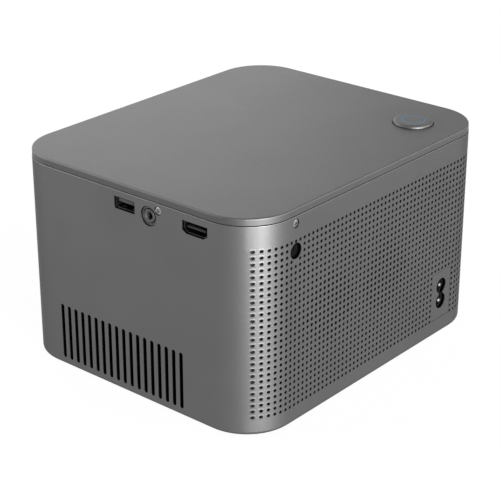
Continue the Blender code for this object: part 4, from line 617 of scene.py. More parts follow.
def swept(bm, stations, profile):
    """Wraps a grid: along the stations one way, along the (inset, height) profile the other."""
    across, along = len(stations) - 1, len(profile) - 1
    made = bmesh.ops.create_grid(bm, x_segments=across, y_segments=along, size=0.5)
    for vertex in made["verts"]:
        spot, normal = stations[round((vertex.co.x + 0.5) * across)]
        inset, height = profile[round((vertex.co.y + 0.5) * along)]
        edge = spot - normal * inset
        vertex.co = (edge.x, edge.y, height)


GRID_FOOT = GRID_LOW - HOLE_PITCH / 2
GRID_HEAD = GRID_FOOT + GRID_ROWS * HOLE_PITCH
UNDER_FILLET, TOP_EDGE, RIM_WIDTH = 2 * MM, 0.25 * MM, 14 * MM
levels = [GRID_FOOT + i * HOLE_PITCH for i in range(GRID_ROWS + 1)]
foot_arc = arc((UNDER_FILLET, UNDERSIDE + UNDER_FILLET), UNDER_FILLET, 180, 270, 6)
head_arc = arc((TOP_EDGE, SHELL_TOP - TOP_EDGE), TOP_EDGE, 180, 90, 3)
bottom = [(0, GRID_FOOT), *foot_arc, (RIM_WIDTH, UNDERSIDE), (RIM_WIDTH, UNDERSIDE + WALL)]
bottom += [(WALL, UNDERSIDE + WALL), (WALL, GRID_FOOT)]
top = [(0, GRID_HEAD), *head_arc, (WALL, SHELL_TOP), (WALL, GRID_HEAD)]
whole = [(0, level) for level in levels[::-1]] + bottom[1:]
whole += [(WALL, level) for level in levels[1:]] + top[-2::-1]

shell = bmesh.new()
swept(shell, rest_stations, whole)
swept(shell, rear_stations, bottom)
swept(shell, rear_stations, top)
print("plain wall", len(shell.faces), "faces")

# %% [markdown]
# The pattern starts as a flat grid, because insets and circles are simple there. It leaves out
# the cells under the inlet plate and round the window. Holes with twelve edges look round at this
# size, and with fifteen hundred of them every further edge would cost many faces.

# %% The hole pattern
DIMPLE_DEPTH = 0.95 * MM
DISC_STEP = 360 / 12
INLET_X, INLET_Z = -55.5 * MM, UNDERSIDE + 22.4 * MM
PLATE_WIDTH, PLATE_LOW, PLATE_HIGH = 16 * MM, UNDERSIDE + 8.9 * MM, UNDERSIDE + 34.7 * MM
WINDOW_X, WINDOW_Z, WINDOW_RADIUS = 61.5 * MM, UNDERSIDE + 85.8 * MM, 3.8 * MM


def is_open(x, z):
    return min(math.dist((x, z), speaker) for speaker in SPEAKERS) < OPEN_RADIUS


def is_plain(x, z):
    """Cells without a hole: under the inlet plate and round the window."""
    beside = abs(x - INLET_X) < PLATE_WIDTH / 2 + HOLE_RADIUS
    over = PLATE_LOW - HOLE_RADIUS < z < PLATE_HIGH + HOLE_RADIUS
    return beside and over or math.dist((x, z), (WINDOW_X, WINDOW_Z)) < WINDOW_RADIUS + HOLE_RADIUS


def perforated(wanted):
    """A flat sheet of cells at y = 0, with a round face in each cell that is wanted."""
    sheet = bmesh.new()
    bmesh.ops.create_grid(sheet, x_segments=GRID_COLUMNS, y_segments=GRID_ROWS, size=0.5)
    stretch = (2 * GRID_HALF_WIDTH, GRID_HEAD - GRID_FOOT, 1)
    bmesh.ops.scale(sheet, vec=stretch, verts=sheet.verts)
    lift = Matrix.Translation((0, 0, (GRID_HEAD + GRID_FOOT) / 2))
    stand = lift @ Matrix.Rotation(math.pi / 2, 4, "X")
    bmesh.ops.transform(sheet, matrix=stand, verts=sheet.verts)
    middles = {face: face.calc_center_median() for face in sheet.faces}
    discs = [face for face, middle in middles.items() if wanted(middle.x, middle.z)]
    margin = HOLE_PITCH / 2 - HOLE_RADIUS * 0.9
    bmesh.ops.inset_individual(sheet, faces=discs, thickness=margin)
    edges = dict.fromkeys(edge for face in discs for edge in face.edges)
    bmesh.ops.bisect_edges(sheet, edges=list(edges), cuts=2)
    for face in discs:
        middle = face.calc_center_median()
        radius = OPEN_HOLE_RADIUS if is_open(middle.x, middle.z) else HOLE_RADIUS
        for vertex in face.verts:
            turn = math.degrees(math.atan2(vertex.co.z - middle.z, vertex.co.x - middle.x)) / DISC_STEP
            turn = math.radians((round(turn - 0.5) + 0.5) * DISC_STEP)
            vertex.co = middle + radius * Vector((math.cos(turn), 0, math.sin(turn)))
    return sheet, discs


def bent(sheet, inset):
    """Bends the flat sheet round the corners. Its y becomes a depth under the wall's face."""
    for vertex in sheet.verts:
        spot, normal = rear_station(vertex.co.x)
        spot = spot - normal * inset
        vertex.co = (spot.x, spot.y + vertex.co.y, vertex.co.z)
    return sheet


def join(bm, other):
    mesh = bpy.data.meshes.new("work")
    other.to_mesh(mesh)
    other.free()
    bm.from_mesh(mesh)
    bpy.data.meshes.remove(mesh)


print("pattern of", GRID_COLUMNS, "by", GRID_ROWS, "cells")

# %% Push the dimples in and join the sheets to the wall
outer, discs = perforated(lambda x, z: not is_plain(x, z))
for face in bmesh.ops.extrude_discrete_faces(outer, faces=discs)["faces"]:
    middle = face.calc_center_median()
    goes_through = is_open(middle.x, middle.z)
    depth = WALL if goes_through else DIMPLE_DEPTH
    bmesh.ops.translate(outer, vec=(0, -depth, 0), verts=face.verts)
    if goes_through:
        outer.faces.remove(face)
inner, discs = perforated(is_open)
for face in discs:
    inner.faces.remove(face)
join(shell, bent(outer, 0))
join(shell, bent(inner, WALL))
closed(shell)
open_edges = sum(edge.is_boundary for edge in shell.edges)
print("wall with holes", len(shell.faces), "faces,", open_edges, "open edges")

# %% [markdown]
# ### Openings in the case
# Slots, sockets and screw seats are cut with one Boolean. The cutters don't touch each other, so
# a single pass is enough. The rims are bevelled afterwards, because a cut or moulded edge is
# never knife sharp, and the small slope catches the light.

# %% Cut the openings
RIGHT, LEFT, REAR, FRONT = (1, 0, 0), (-1, 0, 0), (0, 1, 0), (0, -1, 0)
UP, DOWN = (0, 0, 1), (0, 0, -1)
THROUGH = (-4 * MM, 1 * MM)
SLOT_COUNT, SLOT_PITCH, SLOT_WIDTH, SLOT_TALL = 18, 4.52 * MM, 2.2 * MM, 28.75 * MM
SLOT_MIDDLE, SLOT_Z = -6 * MM, UNDERSIDE + 18.475 * MM
USB_WIDTH, USB_TALL = 12.8 * MM, 5.9 * MM
USB = (HALF_WIDTH, -0.24 * MM, UNDERSIDE + 96.05 * MM)
HDMI = (HALF_WIDTH, 41.95 * MM, UNDERSIDE + 95.6 * MM)
JACK = (HALF_WIDTH, 14.65 * MM, UNDERSIDE + 94.7 * MM)
JACK_RIM, JACK_BORE, JACK_LEDGE = 4.8 * MM, 3.5 * MM, -0.9 * MM
SCREW_Z = UNDERSIDE + 98.6 * MM
SEAT_RIM, SEAT_BORE = 2.05 * MM, 1.3 * MM
case_screws = {"case_screw_right": (RIGHT, (HALF_WIDTH, 20.3 * MM, SCREW_Z)),
               "case_screw_left": (LEFT, (-HALF_WIDTH, 20.3 * MM, SCREW_Z)),
               "case_screw_rear": (REAR, (61.5 * MM, HALF_DEPTH, SCREW_Z))}
WINDOW = (WINDOW_X, HALF_DEPTH, WINDOW_Z)
PLATE_TALL = PLATE_HIGH - PLATE_LOW
PLATE = (INLET_X, HALF_DEPTH, (PLATE_LOW + PLATE_HIGH) / 2)
LENS, LENS_OPENING = (0, -HALF_DEPTH, 53.6 * MM), 26.15 * MM
FOOT_OPENING = 5.8 * MM


def capsule(width, tall):
    reach = (tall - width) / 2
    return arc((0, reach), width / 2, 0, 180, 7) + arc((0, -reach), width / 2, 180, 360, 7)


def hdmi_shape(shrink=0.0):
    """The outline of the socket: a flat bar whose lower corners are cut off."""
    wide, flat, tall = 7.375 * MM - shrink, 4.85 * MM - shrink * 0.6, 3 * MM - shrink
    slope = 1.5 * MM - tall
    return [(-flat, -tall), (flat, -tall), (wide, slope), (wide, tall), (-wide, tall), (-wide, slope)]


cutters = bmesh.new()
for i in range(SLOT_COUNT):
    y = (i - (SLOT_COUNT - 1) / 2) * SLOT_PITCH + SLOT_MIDDLE
    for facing, x in ((RIGHT, HALF_WIDTH), (LEFT, -HALF_WIDTH)):
        prism(capsule(SLOT_WIDTH, SLOT_TALL), *THROUGH, facing, (x, y, SLOT_Z), cutters)
prism(rounded(USB_WIDTH, USB_TALL, 0.4 * MM, 2), *THROUGH, RIGHT, USB, cutters)
prism(hdmi_shape(), *THROUGH, RIGHT, HDMI, cutters)
lathe(stepped(JACK_RIM, JACK_BORE, MM, JACK_LEDGE, -4 * MM), RIGHT, JACK, bm=cutters)
for facing, centre in case_screws.values():
    lathe(stepped(SEAT_RIM, SEAT_BORE, MM, -1.75 * MM, -4 * MM), facing, centre, 32, cutters)
prism(circle(WINDOW_RADIUS), *THROUGH, REAR, WINDOW, cutters)
prism(rounded(PLATE_WIDTH, PLATE_TALL, 0.4 * MM, 2), *THROUGH, REAR, PLATE, cutters)
prism(circle(LENS_OPENING, 96), *THROUGH, FRONT, LENS, cutters)
for i in range(1, 5):
    foot, bolt = middle_of(f"foot_{i}"), middle_of(f"base_screw_{i}")
    prism(circle(FOOT_OPENING), -MM, MM, UP, (foot.x, foot.y, UNDERSIDE), cutters)
    seat = stepped(SEAT_RIM, SEAT_BORE, -MM, 1.5 * MM, 4 * MM)
    lathe(seat, UP, (bolt.x, bolt.y, UNDERSIDE), 32, cutters)
shell = cut(shell, cutters)
print("case with its openings", len(shell.faces), "faces")

# %% Soften the rims
SLOT_RIM, LENS_RIM = 0.22 * MM, 0.25 * MM
LENS_LOW, LENS_HIGH = 10 * MM, 90 * MM


def rims(bm, plane, distance, low=-1.0, high=1.0):
    """Sharp edges that lie in a wall's face, between two heights."""
    axis = Vector(plane)
    found = []
    for edge in bm.edges:
        if len(edge.link_faces) != 2 or edge.calc_face_angle(0) < 1:
            continue
        if all(abs(v.co.dot(axis) - distance) < WELD and low < v.co.z < high for v in edge.verts):
            found.append(edge)
    return found


def soften(bm, edges, width):
    bmesh.ops.bevel(bm, geom=edges, offset=width, segments=2, profile=0.5, affect="EDGES",
                    material=-1, clamp_overlap=True)


bmesh.ops.remove_doubles(shell, verts=shell.verts, dist=WELD)
for side in (RIGHT, LEFT):
    soften(shell, rims(shell, side, HALF_WIDTH, UNDERSIDE + 3 * MM, SHELL_TOP - MM), SLOT_RIM)
soften(shell, rims(shell, FRONT, HALF_DEPTH, LENS_LOW, LENS_HIGH), LENS_RIM)
keep(shell, "case_skin", case_metal, replaces=("main_shell",))

# %% [markdown]
# ## Cover and button
# The cover is a thin lid that leaves a hairline groove above the case. Its upper edge is rounded,
# and the big flat top is one face inside the rounded band. The button is a turned cap whose rim
# is rounded over its whole height, so that only its near side shows a bright crescent.

# %% Top cover
COVER_INSET, COVER_FILLET, COVER_PLATE = 0.15 * MM, 0.7 * MM, 2 * MM
SKIRT_INSIDE, SKIRT_CHAMFER, TOP_BAND = 4.1 * MM, 0.2 * MM, (2 * MM, 5 * MM)
BUTTON = (-60.9 * MM, 50.3 * MM, COVER_TOP)
BUTTON_OPENING, OPENING_RIM = 10.15 * MM, 0.25 * MM
side_line = [(SKIRT_INSIDE, COVER_TOP - COVER_PLATE), (SKIRT_INSIDE, COVER_LOW), (0.4 * MM, COVER_LOW)]
side_line += [(COVER_INSET, COVER_LOW + SKIRT_CHAMFER)]
side_line += arc((COVER_INSET + COVER_FILLET, COVER_TOP - COVER_FILLET), COVER_FILLET, 180, 90, 6)
side_line += [(inset, COVER_TOP) for inset in TOP_BAND]
lid = bmesh.new()
swept(lid, rear_stations + rest_stations, side_line)
bmesh.ops.remove_doubles(lid, verts=lid.verts, dist=WELD)
for height in (COVER_TOP, COVER_TOP - COVER_PLATE):
    loop = [e for e in lid.edges if e.is_boundary and abs(e.verts[0].co.z - height) < WELD]
    bmesh.ops.contextual_create(lid, geom=loop)
lid = cut(closed(lid), prism(circle(BUTTON_OPENING, 96), *THROUGH, UP, BUTTON))
edges = rims(lid, UP, COVER_TOP)
near = [e for e in edges if math.dist(e.verts[0].co.xy, BUTTON[:2]) < BUTTON_OPENING + 0.85 * MM]
soften(lid, near, OPENING_RIM)
keep(lid, "cover_skin", cover_metal, replaces=("top_cover",))

# %% [markdown]
# The button stands a little proud of the lid and has a thin ring of blue plastic let into a
# groove. Both are turned shapes about one axis. A flange under the lid keeps the cap from falling
# out, and a stem reaches down to the switch.

# %% Power button and its ring
BUTTON_RADIUS, BUTTON_PROUD, BUTTON_ROUND = 9.9 * MM, 1.5 * MM, 1.3 * MM
RING_LOW, RING_HIGH, RING_GAP, RING_GROOVE = 5.2 * MM, 6.1 * MM, 0.05 * MM, 0.9 * MM
FLANGE_RADIUS, FLANGE_THICK, STEM_RADIUS = 11.3 * MM, 1.2 * MM, 3 * MM
flange_top = -COVER_PLATE - 0.3 * MM
flange_low = flange_top - FLANGE_THICK
stem_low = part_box("power_button")[0].z - COVER_TOP
groove_low = BUTTON_PROUD - RING_GROOVE
groove_in, groove_out = RING_LOW - RING_GAP, RING_HIGH + RING_GAP
cap_line = [(0, BUTTON_PROUD), (groove_in, BUTTON_PROUD), (groove_in, groove_low)]
cap_line += [(groove_out, groove_low), (groove_out, BUTTON_PROUD)]
cap_line += arc((BUTTON_RADIUS - BUTTON_ROUND, BUTTON_PROUD - BUTTON_ROUND), BUTTON_ROUND, 90, 0, 10)
cap_line += [(BUTTON_RADIUS, flange_top), (FLANGE_RADIUS, flange_top), (FLANGE_RADIUS, flange_low)]
cap_line += [(STEM_RADIUS, flange_low), (STEM_RADIUS, stem_low), (0, stem_low)]
cap = lathe(cap_line, UP, BUTTON, 96)
keep(cap, "button_cap", cover_metal, "button", ("power_button",))

ring_foot, ring_shoulder = BUTTON_PROUD - 0.8 * MM, BUTTON_PROUD - 0.1 * MM
ring_middle, ring_half = (RING_LOW + RING_HIGH) / 2, (RING_HIGH - RING_LOW) / 2
ring_line = [(RING_LOW, ring_foot), (RING_LOW, ring_shoulder)]
ring_line += arc((ring_middle, ring_shoulder), ring_half, 180, 0, 8)
ring_line += [(RING_HIGH, ring_foot), (RING_LOW, ring_foot)]
ring = lathe([(radius, min(z, BUTTON_PROUD)) for radius, z in ring_line], UP, BUTTON, 96)
keep(ring, "button_light", ring_blue, "button", ("button_ring",))

# %% [markdown]
# ## Sockets
# A socket is a small thing with many edges: a folded steel shell set back in the wall, a plastic
# tongue in it and a row of contacts on the tongue. The shell starts as a prism. Its front face
# is inset by the thickness of the sheet, and the inner face is pushed back to make the cavity.

# %% Helpers for sockets
SHEET, SHELL_GAP = 0.4 * MM, 0.2 * MM


def block(bm, low, high, round_off):
    """A box between two corners, with its edges rounded off a little."""
    low, high = Vector(low), Vector(high)
    made = bmesh.ops.create_cube(bm, size=1)["verts"]
    bmesh.ops.scale(bm, vec=high - low, verts=made)
    bmesh.ops.translate(bm, vec=(low + high) / 2, verts=made)
    edges = dict.fromkeys(edge for vertex in made for edge in vertex.link_edges)
    soften(bm, list(edges), round_off)


def shell_socket(outline, centre, node):
    """A folded sheet round a cavity that is open to the front, as deep as a solid of the frame."""
    low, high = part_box(node)
    back, front = low.x - HALF_WIDTH, high.x - HALF_WIDTH
    bm = prism(outline, back, front, RIGHT, centre)
    face = max(bm.faces, key=lambda f: f.calc_center_median().x)
    bmesh.ops.inset_region(bm, faces=[face], thickness=SHEET, use_even_offset=True)
    inner = bmesh.ops.extrude_discrete_faces(bm, faces=[face])["faces"][0]
    bmesh.ops.translate(bm, vec=(back - front + SHEET, 0, 0), verts=inner.verts)
    bmesh.ops.remove_doubles(bm, verts=bm.verts, dist=WELD)
    soften(bm, rims(bm, RIGHT, centre[0] + front), SHEET * 0.3)
    return bm


def contacts(name, node, count, pitch, width, sides, finish):
    """Flat springs in a row, on one or both sides of a tongue."""
    low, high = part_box(node)
    middle = (low.y + high.y) / 2
    bm = bmesh.new()
    for side in sides:
        face = high.z if side > 0 else low.z
        for i in range(count):
            y = middle + (i - (count - 1) / 2) * pitch
            ends = sorted((face - side * 0.1 * MM, face + side * 0.12 * MM))
            back = (low.x + MM, y - width / 2, ends[0])
            front = (high.x - 0.8 * MM, y + width / 2, ends[1])
            block(bm, back, front, 0.04 * MM)
    keep(bm, name, finish)


def tongue(name, node, finish):
    bm = bmesh.new()
    low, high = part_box(node)
    block(bm, low, high, min(high - low) * 0.22)
    keep(bm, name, finish, replaces=(node,))


print("socket helpers ready")

# %% [markdown]
# The USB shell has four spring tabs bent inwards, two above and two below, that grip a plug. They
# are small blocks, as only their ends show. The tongue carries four contacts on its lower side.

# %% USB socket
usb_outline = rounded(USB_WIDTH - 2 * SHELL_GAP, USB_TALL - 2 * SHELL_GAP, 0.5 * MM, 3)
usb = shell_socket(usb_outline, USB, "usb_shell")
TAB_REACH, TAB_WIDTH, TAB_THICK = (9 * MM, 3 * MM), 1.8 * MM, 0.4 * MM
for side in (-1, 1):
    for across in (-3 * MM, 3 * MM):
        y, z = USB[1] + across, USB[2] + side * 2.35 * MM
        back = (HALF_WIDTH - TAB_REACH[0], y - TAB_WIDTH / 2, z - TAB_THICK / 2)
        front = (HALF_WIDTH - TAB_REACH[1], y + TAB_WIDTH / 2, z + TAB_THICK / 2)
        block(usb, back, front, 0.15 * MM)
keep(usb, "usb_case", socket_steel, replaces=("usb_shell",))
tongue("usb_blade", "usb_tongue", jack_plastic)
contacts("usb_contacts", "usb_tongue", 4, 2.3 * MM, 1.1 * MM, (-1,), turned_brass)

# %% [markdown]
# The HDMI shell has its lower corners cut off, so that a plug only fits one way up. Its tongue
# has contacts on both sides, ten to a side.

# %% HDMI socket
hdmi = shell_socket(hdmi_shape(SHELL_GAP), HDMI, "hdmi_shell")
keep(hdmi, "hdmi_case", socket_steel, replaces=("hdmi_shell",))
tongue("hdmi_blade", "hdmi_tongue", tongue_plastic)
contacts("hdmi_contacts", "hdmi_tongue", 10, MM, 0.45 * MM, (-1, 1), socket_steel)

# %% [markdown]
# The headphone socket is a black tube with a rounded nose, a metal trim ring round it and a brass
# spring inside. All three are turned, and a block behind them is the body of the socket.

# %% Headphone socket
jack_low, jack_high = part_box("audio_jack")
nose = jack_high.x - HALF_WIDTH
BORE, NOSE_RADIUS, NOSE_ROUND, JACK_BACK = 1.8 * MM, 3.2 * MM, 0.35 * MM, -13 * MM
line = [(0, JACK_BACK + MM), (BORE, JACK_BACK + MM)]
line += [(BORE, nose - 0.5 * MM), (BORE + 0.4 * MM, nose - 0.1 * MM)]
line += arc((NOSE_RADIUS - NOSE_ROUND, nose - NOSE_ROUND), NOSE_ROUND, 90, 0, 4)
line += [(NOSE_RADIUS, nose - 6 * MM), (NOSE_RADIUS, JACK_BACK), (0, JACK_BACK)]
jack = lathe(line, RIGHT, JACK)
block(jack, jack_low, (HALF_WIDTH - 4.2 * MM, jack_high.y, jack_high.z), 0.3 * MM)
keep(jack, "headphone_jack", jack_plastic, replaces=("audio_jack",))

TRIM_IN, TRIM_OUT, TRIM_LOW, TRIM_HIGH = 3.6 * MM, 4.65 * MM, -0.95 * MM, -0.7 * MM
line = [(TRIM_IN, TRIM_LOW), (TRIM_IN, TRIM_HIGH - 0.08 * MM), (TRIM_IN + 0.1 * MM, TRIM_HIGH)]
line += [(TRIM_OUT - 0.1 * MM, TRIM_HIGH), (TRIM_OUT, TRIM_HIGH - 0.08 * MM), (TRIM_OUT, TRIM_LOW)]
trim = lathe(line + [(TRIM_IN, TRIM_LOW)], RIGHT, JACK)
keep(trim, "headphone_trim", cover_metal)

wall, middle, reach = BORE - 0.02 * MM, -6 * MM, MM
line = [(wall, middle + reach), (BORE - 0.35 * MM, middle), (wall, middle - reach)]
line += [(BORE + 0.1 * MM, middle), (wall, middle + reach)]
spring = lathe(line, RIGHT, JACK, 32)
keep(spring, "headphone_spring", turned_brass)

# %% [markdown]
# ### Mains inlet
# The figure-of-eight opening is two arcs joined by a straight waist. A plate of the case's own
# metal fills the square window in the wall, and the black moulding with its two pins stands
# behind it.

# %% Inlet plate, body and pins
LOBE, LOBE_OFFSET, WAIST = 4.05 * MM, 4.2 * MM, 1.7 * MM
PLATE_GAP, WELL_STEP, WELL_FLOOR = 0.3 * MM, 0.25 * MM, -12 * MM
PRONG_REACH, PRONG_TIP = 1.0 * MM, 1.1 * MM
INLET = (INLET_X, HALF_DEPTH, INLET_Z)


def figure_of_eight(grow=0.0):
    turn = math.degrees(math.asin(WAIST / LOBE))
    top_lobe = arc((0, LOBE_OFFSET), LOBE + grow, turn - 90, 270 - turn, 20)
    return top_lobe + arc((0, -LOBE_OFFSET), LOBE + grow, 90 + turn, 450 - turn, 20)


plate_low, plate_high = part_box("inlet_plate")
outline = rounded(PLATE_WIDTH - PLATE_GAP, PLATE_TALL - PLATE_GAP, 0.3 * MM, 2)
plate = prism(outline, plate_low.y - HALF_DEPTH, plate_high.y - HALF_DEPTH, REAR, PLATE)
plate = cut(closed(plate), prism(figure_of_eight(), *THROUGH, REAR, INLET))
soften(plate, rims(plate, REAR, plate_high.y), 0.12 * MM)
keep(plate, "inlet_frame", case_metal, replaces=("inlet_plate",))

body_low, body_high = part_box("inlet_socket")
well = bmesh.new()
block(well, body_low, body_high, 0.4 * MM)
room = prism(figure_of_eight(-WELL_STEP), WELL_FLOOR, MM, REAR, INLET)
well = cut(closed(well), room)
soften(well, rims(well, REAR, body_high.y), 0.15 * MM)
keep(well, "inlet_well", port_plastic, replaces=("inlet_socket",))

for name in ("inlet_pin_1", "inlet_pin_2"):
    low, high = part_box(name)
    radius = (high.x - low.x) / 2
    shank = high.y - low.y + PRONG_REACH - PRONG_TIP
    line = [(0, 0), (radius, 0)]
    for step in range(8):
        turn = step * math.pi / 16
        line.append((radius * math.cos(turn), shank + PRONG_TIP * math.sin(turn)))
    place = middle_of(name)
    pin = lathe(line + [(0, shank + PRONG_TIP)], REAR, (place.x, low.y, place.z), 32)
    keep(pin, name.replace("pin", "prong"), pin_chrome, replaces=(name,))

# %% [markdown]
# ## Window, screws and feet
# Small turned parts. The remote-control window is a low black dome, so it mirrors the room in a
# soft spot. Each screw has a rounded head with a cross cut into it.

# %% Remote-control window
DOME_RADIUS, DOME_RISE, DOME_SUNK = 3.66 * MM, 0.5 * MM, 0.9 * MM
FLANGE_FRONT, FLANGE_BACK = -2.5 * MM, -3.4 * MM
window_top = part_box("ir_window")[1].y - HALF_DEPTH - DOME_SUNK
line = [(0, window_top)]
for step in range(1, 11):
    turn = step * math.pi / 20
    line.append((DOME_RADIUS * math.sin(turn), window_top - DOME_RISE * (1 - math.cos(turn))))
line += [(DOME_RADIUS, FLANGE_FRONT), (5 * MM, FLANGE_FRONT), (5 * MM, FLANGE_BACK), (0, FLANGE_BACK)]
dome = lathe(line, REAR, WINDOW, 64)
keep(dome, "remote_window", window_black, replaces=("ir_window",))

# %% [markdown]
# A crown and a cross recess are what makes a small bright disc read as a screw. The two bars of
# the cross are cut one after the other, because cutters that overlap can spoil a Boolean.

# %% Screws
HEAD_RADIUS, HEAD_TALL, CROWN = 1.88 * MM, 1.2 * MM, 0.22 * MM
SHANK_RADIUS, SHANK_END = MM, 5 * MM
CROSS_REACH, CROSS_WIDTH, CROSS_DEPTH = 1.1 * MM, 0.28 * MM, 0.5 * MM
QUARTERS = ((-1, -1), (1, -1), (1, 1), (-1, 1))


def screw(name, node, facing, centre, sink):
    """A round head with a cross recess, on a plain shank."""
    line = [(0, CROWN - sink), (0.7 * MM, CROWN * 0.9 - sink), (1.3 * MM, CROWN * 0.5 - sink)]
    line += [(1.7 * MM, -sink), (HEAD_RADIUS, -sink - 0.2 * MM), (HEAD_RADIUS, -sink - HEAD_TALL)]
    line += [(SHANK_RADIUS, -sink - HEAD_TALL), (SHANK_RADIUS, -sink - SHANK_END)]
    line += [(0, -sink - SHANK_END)]
    bm = lathe(line, facing, centre, 32)
    for wide, tall in ((CROSS_REACH, CROSS_WIDTH), (CROSS_WIDTH, CROSS_REACH)):
        outline = [(x * wide, y * tall) for x, y in QUARTERS]
        bm = cut(closed(bm), prism(outline, -sink - CROSS_DEPTH, MM, facing, centre))
    keep(bm, name, bright_steel, replaces=(node,))


for node, (facing, centre) in case_screws.items():
    screw(node.replace("screw", "bolt"), node, facing, centre, 0.4 * MM)
for i in range(1, 5):
    place = middle_of(f"base_screw_{i}")
    screw(f"base_bolt_{i}", f"base_screw_{i}", DOWN, (place.x, place.y, UNDERSIDE), 0.3 * MM)

# %% [markdown]
# The feet are soft pads with a hollow in their tread, and they taper towards the floor so that the
# case hides them. The tripod insert is a brass bush. Its thread is drawn as plain rings, since a
# true helix couldn't be told from them inside the dark hole.

# %% Feet and tripod insert
FOOT_TAPER, FOOT_ROUND, FOOT_HOLLOW = 1.9 * MM, 0.5 * MM, 0.25 * MM
for i in range(1, 5):
    low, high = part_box(f"foot_{i}")
    radius, tall = (high.x - low.x) / 2, high.z - low.z
    tread = radius - FOOT_TAPER
    line = [(0, FOOT_HOLLOW), (tread - 1.4 * MM, FOOT_HOLLOW), (tread - 1.2 * MM, 0)]
    line += arc((tread - FOOT_ROUND, FOOT_ROUND), FOOT_ROUND, 270, 320, 4)
    line += [(radius, tall - 0.2 * MM), (radius, tall), (0, tall)]
    place = middle_of(f"foot_{i}")
    pad = lathe(line, UP, (place.x, place.y, low.z))
    keep(pad, f"foot_pad_{i}", foot_rubber, replaces=(f"foot_{i}",))

CREST, ROOT, THREAD_PITCH, THREAD_DEPTH = 3.1 * MM, 3.35 * MM, 0.55 * MM, 7.5 * MM
low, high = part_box("tripod_insert")
tall, outer, place = high.z - low.z, (high.x - low.x) / 2, middle_of("tripod_insert")
thread = [(CREST + 0.3 * MM, 0), (CREST, 0.4 * MM)]
for i in range(12):
    thread += [(ROOT, 0.7 * MM + i * THREAD_PITCH), (CREST, 0.95 * MM + i * THREAD_PITCH)]
line = [(0, THREAD_DEPTH), (CREST, THREAD_DEPTH)] + thread[::-1]
line += [(outer - 0.3 * MM, 0), (outer, 0.3 * MM), (outer, tall), (0, tall)]
insert = lathe(line, UP, (place.x, place.y, low.z), 64)
keep(insert, "tripod_thread", turned_brass, replaces=("tripod_insert",))

# %% [markdown]
# ## The lens
# The lens sits on the wall opposite the perforated one. A black bezel leads in to it in fine
# steps, which keep stray light out of the picture. Behind it stands the movable cell, with a
# threaded ring that holds the front glass. The glass is a turned dome with a coating.

# %% Lens bezel
MOUTH, THROAT, BAFFLES, BAFFLE_LIP = 22.5 * MM, 20 * MM, 6, 0.12 * MM
COLLAR, COLLAR_BACK, COLLAR_ROUND, BEZEL_FLANGE = 26 * MM, -2.4 * MM, 0.5 * MM, 27.6 * MM


def outwards(node):
    """How far a node reaches out of the front wall's face: its back and its front."""
    low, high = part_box(node)
    return -HALF_DEPTH - high.y, -HALF_DEPTH - low.y


bezel_back, bezel_front = outwards("lens_bezel")
line = [(BEZEL_FLANGE, bezel_back), (THROAT, bezel_back)]
radius = THROAT
for i in range(1, BAFFLES + 1):
    share = i / BAFFLES
    depth = bezel_back + (bezel_front - bezel_back - COLLAR_ROUND) * share
    line += [(radius, depth - BAFFLE_LIP), (radius + BAFFLE_LIP, depth)]
    radius = THROAT + (MOUTH - THROAT) * share
    line.append((radius, depth))
round_low = bezel_front - COLLAR_ROUND
line += arc((MOUTH + COLLAR_ROUND, round_low), COLLAR_ROUND, 180, 90, 4)
line += arc((COLLAR - COLLAR_ROUND, round_low), COLLAR_ROUND, 90, 0, 4)
line += [(COLLAR, COLLAR_BACK), (BEZEL_FLANGE, COLLAR_BACK), (BEZEL_FLANGE, bezel_back)]
bezel = lathe(line, FRONT, LENS, 128)
keep(bezel, "lens_collar", bezel_plastic, replaces=("lens_bezel",))

# %% [markdown]
# The barrel is a turned tube with a pocket for a lens at each end. The fine ring of grooves in
# front of the glass is there on real lenses too, where it swallows stray light.

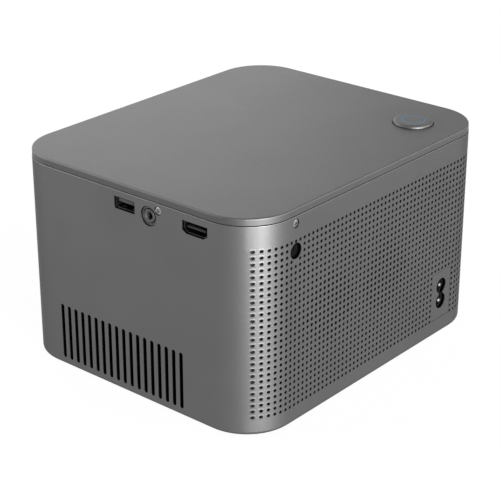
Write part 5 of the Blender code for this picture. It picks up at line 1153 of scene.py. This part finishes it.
# %% Lens barrel
CELL_RADIUS, CELL_ROUND, POCKET, POCKET_DEPTH = 18.7 * MM, 0.4 * MM, 16.5 * MM, 9 * MM
LIGHT_WAY, SEAT_LIP = 14.5 * MM, 15.6 * MM
GROOVES, GROOVE_RADIUS, GROOVE_STEP = 7, 15.7 * MM, 0.16 * MM
cell_back, cell_front = outwards("lens_cell")
glass_back, glass_front = outwards("front_lens")
line = [(CELL_RADIUS, cell_back), (POCKET, cell_back), (POCKET, cell_back + POCKET_DEPTH)]
line += [(LIGHT_WAY, cell_back + POCKET_DEPTH), (LIGHT_WAY, cell_front - POCKET_DEPTH)]
line += [(POCKET, cell_front - POCKET_DEPTH), (POCKET, glass_front - 2.6 * MM)]
line += [(SEAT_LIP, glass_front - 2.4 * MM)]
for i in range(GROOVES):
    radius = GROOVE_RADIUS + i * GROOVE_STEP
    depth = glass_front - 2 * MM + i * (cell_front - glass_front + MM) / GROOVES
    line += [(radius, depth), (radius + 0.25 * MM, depth + 0.15 * MM)]
line += arc((CELL_RADIUS - CELL_ROUND, cell_front - CELL_ROUND), CELL_ROUND, 100, 0, 4)
cell = lathe(line + [(CELL_RADIUS, cell_back)], FRONT, LENS, 96)
keep(cell, "lens_barrel", dark_plastic, "lens", ("lens_cell",))

# %% [markdown]
# The front glass is a shallow dome, part of a large sphere whose radius follows from the width of
# the glass and the height of the bulge. The line that is spun starts and ends on the axis, so the
# glass is a closed solid.

# %% Front glass
BULGE, GLASS_EDGE, BULGE_STEPS = 3.2 * MM, 0.2 * MM, 24
glass_low, glass_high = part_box("front_lens")
glass_radius = (glass_high.x - glass_low.x) / 2
sphere = (glass_radius**2 + BULGE**2) / (2 * BULGE)
reach = math.asin(glass_radius / sphere)
line = [(0, glass_back), (glass_radius - GLASS_EDGE, glass_back)]
line += [(glass_radius, glass_back + GLASS_EDGE)]
for i in range(BULGE_STEPS, -1, -1):
    turn = reach * i / BULGE_STEPS
    line.append((sphere * math.sin(turn), glass_front - sphere * (1 - math.cos(turn))))
glass = lathe(line, FRONT, LENS, 96)
keep(glass, "front_glass", lens_glass, "lens", ("front_lens",))

# %% [markdown]
# ## Finishes for the solids that stay
# The pieces inside the case are seen only through slots and holes, and their solids already
# have the right shape. They get the finishes made above.

# %% Dress the remaining solids
dress(dark_plastic, "base_plate", "button_switch", "ir_receiver", "capacitor", "fan_1_frame",
      "fan_1_rotor", "fan_2_frame", "fan_2_rotor", "engine_housing", "lens_sleeve",
      "speaker_1_frame", "speaker_2_frame")
dress(board_green, "main_board", "power_board")
dress(bare_aluminium, "heat_spreader", "light_board", "heat_sink")
dress(core_ferrite, "transformer")
dress(cone_paper, "speaker_1_cone", "speaker_2_cone")
dress(gear_plastic, "focus_ring", "focus_pinion")
dress(bright_steel, "focus_motor")
dress(lens_glass, "condenser_lens", "rear_lens")
dress(panel_glass, "display_panel")
